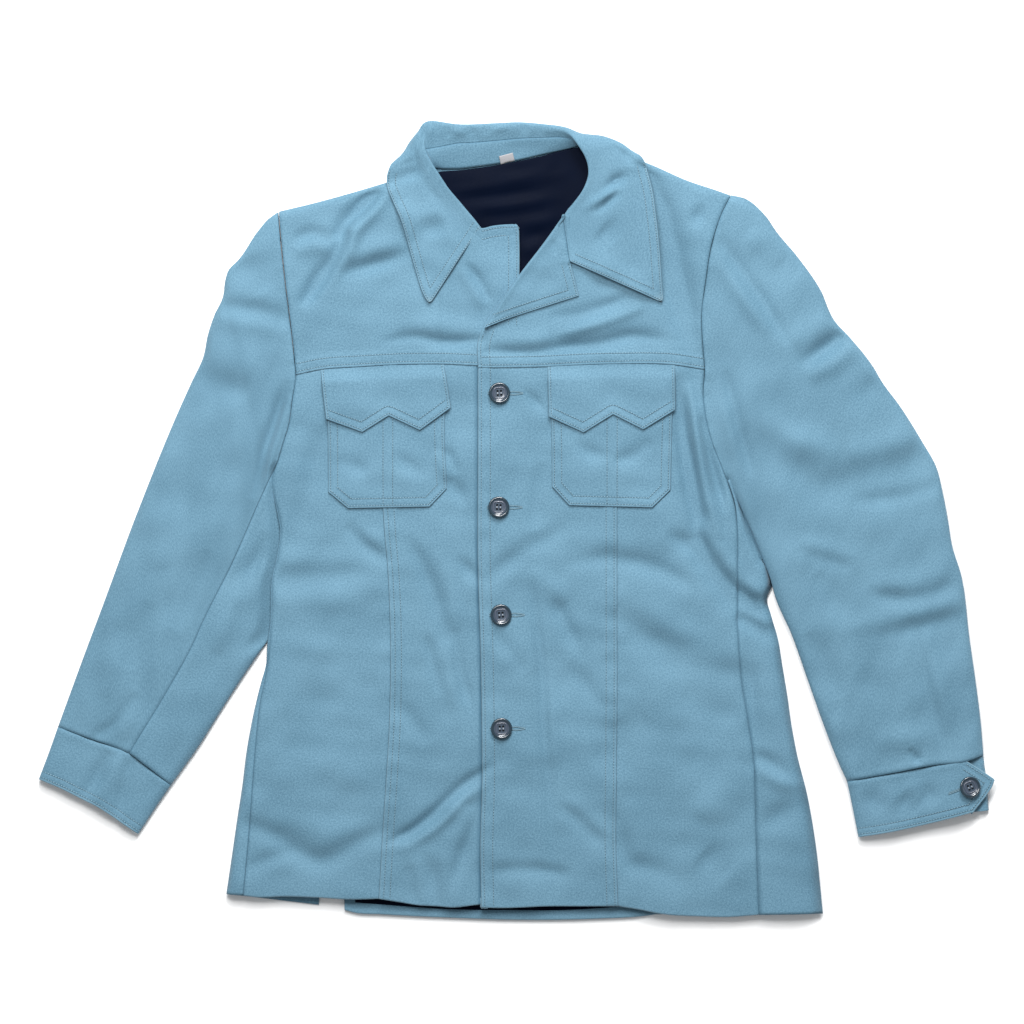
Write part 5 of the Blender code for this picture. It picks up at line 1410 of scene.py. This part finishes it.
top_left, top_right = (-16.4, 337.2), (-3.6, 340.6)
low_left, low_right = (-14.6, 329.6), (-1.6, 333)
cut = panel(
    curve([top_left, top_right]), curve([low_left, low_right]), curve([top_left, low_left]),
    curve([top_right, low_right]), ((0, 0.4, 1),) * 4, cell=1.0,
)
below = ("collar_stand", "back_lining", "collar")
ground = np.array([[drop(below, point)[0].z for point in row] for row in cut.place]) * 1000
ground = np.maximum.accumulate(ground[::-1], axis=0)[::-1]
edge = np.minimum.reduce([cut.left, cut.right, cut.top, cut.bottom])
lie = ground.mean(1, keepdims=True) * 0.5 + ground * 0.5 + 0.9 + 0.5 * ramp(cut.bottom, 0, 8)
sew("label", cut.place, turned(lie, lie - 0.6, edge, 0.6), thick=0.6,
    finish=tape)


# ------------------------------------------------------------------ topstitching
# Rows of polyester thread in the colour of the cloth, about ten stitches to the inch, two to every
# edge and lapped seam. Each stitch is a short raised float that dives into the cloth at its ends.

STITCH = 2.6
thread = Finish("blue_thread")
# The ends of each stitch are painted dark: painted shade where the thread dives into its needle hole.
needle_hole_shade = thread.attribute("end")
strand = thread.noise(thread.body_place(), 2600.0, 1.0)
thread_colour = thread.mix(strand, (0.150, 0.275, 0.350, 1), (0.210, 0.345, 0.415, 1))
thread.set(
    Base_Color=thread.mix(needle_hole_shade.between(0.12, 0.62), thread_colour, (0.030, 0.080, 0.118, 1)),
    Roughness=0.5, Sheen_Weight=0.1,
)
bead = bmesh.new()
bmesh.ops.create_uvsphere(bead, u_segments=6, v_segments=4, radius=1)
bead_mesh = as_mesh(bead, "stitch")
bead_places = np.array([v.co[:] for v in bead_mesh.vertices])[:, [2, 0, 1]]
bead_faces = [tuple(face.vertices) for face in bead_mesh.polygons]


def inset(line, distance, turn=1):
    """A line drawn inside another at a set distance, mitred at its corners."""
    way = np.gradient(line, axis=0)
    way = way / np.maximum(np.linalg.norm(way, axis=1), 1e-9)[:, None]
    moved = line + np.column_stack([-way[:, 1], way[:, 0]]) * distance * turn
    gap, _ = nearest(moved, line, every=2)
    return moved[gap > distance - 0.12]


def double(line, distances, turn=1):
    """Two rows inside a line, at their distances from it."""
    return [inset(line, distance, turn) for distance in distances]


def stitches(name, rows, carriers, size=(1.30, 0.50, 0.32), pitch=STITCH, crosswise=False):
    """Stitches along rows on the plan, each lying on the highest of the pieces it is sewn to."""
    places, frames = [], []
    for row in rows:
        row = np.asarray(row, float)
        run = run_of(row)
        marks = np.arange(pitch * 0.5, run[-1] - pitch * 0.3, pitch)
        line = np.column_stack([np.interp(marks, run, axis) for axis in row.T])
        ahead = np.column_stack([np.interp(marks + 0.4, run, axis) for axis in row.T])
        for point, onward in zip(line, ahead):
            hit = drop(carriers, point)
            if hit is None:
                continue
            up = hit[1] if hit[1].z > 0 else -hit[1]
            way = Vector((*(onward - point), 0)).normalized()
            side = up.cross(way).normalized()
            way = side.cross(up)
            if crosswise:
                way, side = side, -way
            places.append(list(hit[0]))
            frames.append([list(way), list(side), list(up)])
    places, frames = np.array(places), np.array(frames)
    local = bead_places * np.array(size) * MM
    spots = np.einsum("vi,nij->nvj", local, frames) + places[:, None]
    spots += frames[:, 2][:, None] * (size[2] * 0.0004)
    faces = [
        tuple(corner + number * len(bead_places) for corner in face)
        for number in range(len(places)) for face in bead_faces
    ]
    mesh = bpy.data.meshes.new(name)
    mesh.from_pydata(spots.reshape(-1, 3).tolist(), [], faces)
    # How near each point is to a stitch's end, where the thread is painted with the needle hole's shade.
    field = mesh.attributes.new("end", "FLOAT", "POINT")
    field.data.foreach_set("value", np.tile(np.abs(bead_places[:, 0]), len(places)).astype("f"))
    part_of_jacket(name, mesh, thread)


def beyond(line, axis, low, high):
    """The part of a line between two coordinates."""
    return line[(line[:, axis] > low) & (line[:, axis] < high)]


rows = []
for side, start, end in (("left", -205, -36), ("right", -33, 175)):
    seam = beyond(lines[f"yoke_seam_{side}"], 0, start, end)
    rows += [seam + (0, gap) for gap in LAP_ROWS]
rows += double(beyond(lines["front_edge"], 1, -362, 141), EDGE_ROWS)
for gap, end in zip(EDGE_ROWS, (172, 176)):
    rows.append(beyond(lines["neck_right"], 1, 140, end) + (gap, 0))
rows += double(beyond(lines["panel_left"], 1, -353, 143), PANEL_ROWS_L)
rows += double(beyond(lines["panel_right"], 1, -360, 144), LAP_ROWS, -1)
for gap, end in zip(UNDERLAP_ROWS, (272, 264)):
    rows.append(inset(beyond(lines["underlap"], 1, 180, end), gap, -1))
for gap, end in zip(UNDERLAP_ROWS, (-1, -9)):
    rows.append(beyond(lines["top_left"], 0, -33, end) - (0, gap))
stitches("stitches_yokes", rows, ["yoke_left", "yoke_right", "front_centre_left", "front_centre_right"])


def free_edge(sides):
    """The stitched edge of a pocket or flap: down its left, along its bottom and up its right."""
    _, bottom, left, right = four_sides(*sides)
    return curve(np.vstack([left, bottom[1:], right[-2::-1]])[::4], sharp=True, count=1600)


rows = []
for side, (*sides, middle) in POCKETS.items():
    rows += double(free_edge(sides), POCKET_ROWS)
    rows += [np.array([(x, 118), (x, 12.5)]) for x in middle]
stitches("stitches_pockets", rows, ["pocket_left", "pocket_right"])
rows = []
for side, sides in FLAPS.items():
    rows.append(inset(free_edge(sides), POCKET_ROWS[0]))
    rows.append(inset(curve(sides[1], sharp=True, count=1600), POCKET_ROWS[1]))
stitches("stitches_flaps", rows, ["flap_left", "flap_right"])

# The collar's leaves, each from its front end round its point to the shoulder, and the lapel
end_left = np.linspace(stations[0, 1, :2], stations[0, 3, :2], 80)
end_right = np.linspace(stations[-1, 2, :2], stations[-1, 3, :2], 80)
# Fine rows of the collar at which its fall goes under the back
at_shoulders = (93, 270)
leaf_left = curve(np.vstack([end_left[:-1], tip[:at_shoulders[0], :2]]), sharp=True, count=1200)
leaf_right = curve(np.vstack([tip[at_shoulders[1]:-1, :2], end_right[::-1]]), sharp=True, count=1200)
lapel_free = curve(np.vstack([curve(LAPEL_LOWER), LAPEL_OUTER[4:5]]), sharp=True, count=900)
rows = double(leaf_left, COLLAR_STITCHING, -1) + double(leaf_right, COLLAR_STITCHING, -1)
rows += double(lapel_free, COLLAR_STITCHING)
stitches("stitches_collar", rows, ["collar", "lapel_right"], pitch=2.5)
rows = double(curve(CUFF_HEM_L), CUFF_ROWS) + double(curve(TAB_HEM), CUFF_ROWS)
rows += double(curve(TAB_EDGE, sharp=True), CUFF_ROWS, -1)
stitches("stitches_cuffs", rows, ["cuff_left", "cuff_right"])


# ------------------------------------------------------------------ buttonholes and buttons
# Narrow worked buttonholes in matching thread, and glossy blue moulded buttons of 20 mm with a
# raised rim, a moulded square ring and four holes, sewn on with pale thread run up and down.

# Each front button: its place on the plan, and how far it has turned on its thread
BUTTONS = [(-16, 117, 4), (-16.6, 11, -3), (-14.5, -89, 6), (-14, -194.5, 2)]
HOLE_SIDE = [(-11, 0.9), (9, 1.1), (13, 1.5), (18, 1.0), (22.5, 0.2)]
WORKED = {"size": (0.85, 0.30, 0.42), "pitch": 0.52, "crosswise": True}

rows = [
    [(x + along, y + side * apart) for along, apart in HOLE_SIDE] for x, y, _ in BUTTONS for side in (1, -1)
]
stitches("buttonholes", rows, ["front_centre_right"], **WORKED)
stitches("buttonhole_cuff", [
    [(401.5, -254.2), (412, -250.4), (422, -246.5)], [(401, -255.6), (411.5, -251.8), (421.5, -247.9)],
], ["cuff_right"], **WORKED)

plastic = Finish("blue_plastic")
place = plastic.body_place()
swirl = plastic.noise(place, 160.0, 3.0)
drawn = plastic.node("ShaderNodeMapping", {}, {"Vector": place, "Scale": (1, 6, 1)})
scratch = plastic.noise(drawn, 900.0, 2.0)
rim_colour = plastic.mix(swirl, (0.003, 0.015, 0.028, 1), (0.009, 0.028, 0.044, 1))
dish_colour = plastic.mix(swirl, (0.026, 0.041, 0.064, 1), (0.044, 0.066, 0.096, 1))
plastic.set(
    Base_Color=plastic.mix(plastic.attribute("dish"), rim_colour, dish_colour), Coat_Weight=0.5,
    Roughness=0.16 + scratch * 0.12, Specular_IOR_Level=0.6, Normal=plastic.relief(scratch, 0.00001),
)
plastic.shader.inputs["Coat Roughness"].default_value = 0.06
ring_plastic = Finish("mauve_plastic")
swirl = ring_plastic.noise(ring_plastic.body_place(), 240.0, 3.0)
ring_plastic.set(
    Base_Color=ring_plastic.mix(swirl, (0.044, 0.058, 0.088, 1), (0.070, 0.086, 0.120, 1)),
    Roughness=0.28 + swirl * 0.1, Coat_Weight=0.3,
)
# Near black: painted shade that stands for the inside of each hole.
painted_hole_shade = flecked(
    "painted_hole_shade", 300.0, (0.001, 0.002, 0.004, 1), (0.003, 0.005, 0.008, 1), Roughness=0.7,
    Specular_IOR_Level=0.1,
)
pale = flecked(
    "pale_thread", 2400.0, (0.25, 0.30, 0.36, 1), (0.38, 0.43, 0.48, 1), Roughness=0.6, Sheen_Weight=0.2,
)

# Half of a button's section, across from its middle and up, in mm
BUTTON_LINE = [
    (0, 0.0), (5.0, 0.0), (8.6, 0.35), (9.6, 1.1), (9.9, 2.0), (9.75, 2.75), (9.3, 3.3), (8.7, 3.5),
    (8.1, 3.4), (7.5, 3.0), (6.9, 2.5), (6.2, 2.25), (3.0, 2.2), (0, 2.2),
]
# Sizes within a button, in metres
RING_THICK, RING_ACROSS, RING_UP = 0.00062, 0.0050, 0.0023
HOLE_RADIUS, HOLE_ACROSS, HOLE_ALONG, HOLE_UP = 0.00112, 0.0016, 0.0018, 0.00223
DISH_RADIUS = 0.0070


def spun(shape, section, steps):
    """A section turned round the upright axis into a closed shape."""
    bmesh.ops.spin(
        shape, geom=section, axis=(0, 0, 1), cent=(0, 0, 0), angle=math.tau, steps=steps, use_merge=True,
    )
    bmesh.ops.remove_doubles(shape, verts=shape.verts, dist=1e-6)


def rotation(degrees, axis):
    """A turn about one axis."""
    return Matrix.Rotation(math.radians(degrees), 3, axis)


def moulded(node, cloth, point, lift, slope, turn):
    """One button with its ring, holes and thread, set on the cloth over a point of the plan."""
    body = bmesh.new()
    corners = [body.verts.new((across * MM, 0, up * MM)) for across, up in BUTTON_LINE]
    spun(body, corners + [body.edges.new(pair) for pair in zip(corners, corners[1:])], 56)
    bmesh.ops.recalc_face_normals(body, faces=body.faces)
    ring = bmesh.new()
    section = bmesh.ops.create_circle(ring, segments=10, radius=RING_THICK)["verts"]
    bmesh.ops.rotate(ring, cent=(0, 0, 0), matrix=rotation(90, "X"), verts=section)
    bmesh.ops.translate(ring, vec=(RING_ACROSS, 0, RING_UP), verts=section)
    spun(ring, list(ring.verts) + list(ring.edges), 48)
    for vertex in ring.verts:
        angle = math.atan2(vertex.co.y, vertex.co.x)
        square = (abs(math.cos(angle)) ** 4 + abs(math.sin(angle)) ** 4) ** -0.25
        vertex.co.x *= square
        vertex.co.y *= square
    bmesh.ops.recalc_face_normals(ring, faces=ring.faces)
    holes = bmesh.new()
    threads = bmesh.new()
    for x in (-1, 1):
        for y in (-1, 1):
            # Each hole is a flat disc on the dish, painted with the shade inside the hole.
            made = bmesh.ops.create_circle(holes, cap_ends=True, segments=16, radius=HOLE_RADIUS)["verts"]
            bmesh.ops.translate(holes, vec=(x * HOLE_ACROSS, y * HOLE_ALONG, HOLE_UP), verts=made)
        for offset in (-0.22, 0.22):
            made = bmesh.ops.create_uvsphere(threads, u_segments=8, v_segments=6, radius=MM)["verts"]
            bmesh.ops.scale(threads, vec=(0.26, 1.05, 0.42), verts=made)
            spot = (x * HOLE_ACROSS + offset * MM, -0.0002, 0.0024)
            bmesh.ops.translate(threads, vec=spot, verts=made)
    facing = Vector((0, 0, 1)).rotation_difference(Vector(slope).normalized()).to_matrix().to_4x4()
    facing = facing @ rotation(turn, "Z").to_4x4()
    facing.translation = drop([cloth], point)[0] + Vector((0, 0, lift))
    for label, shape, finish, slot in (
        ("", body, plastic, "button_plastic"), ("_ring", ring, ring_plastic, "button_plastic"),
        ("_holes", holes, painted_hole_shade, "button_plastic"), ("_thread", threads, pale, "face_cloth"),
    ):
        dish = [float(math.hypot(vertex.co.x, vertex.co.y) < DISH_RADIUS) for vertex in shape.verts]
        bmesh.ops.transform(shape, matrix=facing, verts=shape.verts)
        name = f"{node}_moulded{label}"
        mesh = as_mesh(shape, name)
        mesh.attributes.new("dish", "FLOAT", "POINT").data.foreach_set("value", dish)
        piece = part_of_jacket(name, mesh, finish)
        if not label:
            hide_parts(node)


for number, (x, y, turn) in enumerate(BUTTONS, 1):
    moulded(f"button_{number}", "front_centre_right", (x, y), 0.0009, (0.02, 0.03, 1), turn)
moulded("button_cuff", "cuff_right", (420.8, -249.2), 0.0012, (0.16, 0.12, 1), 24)
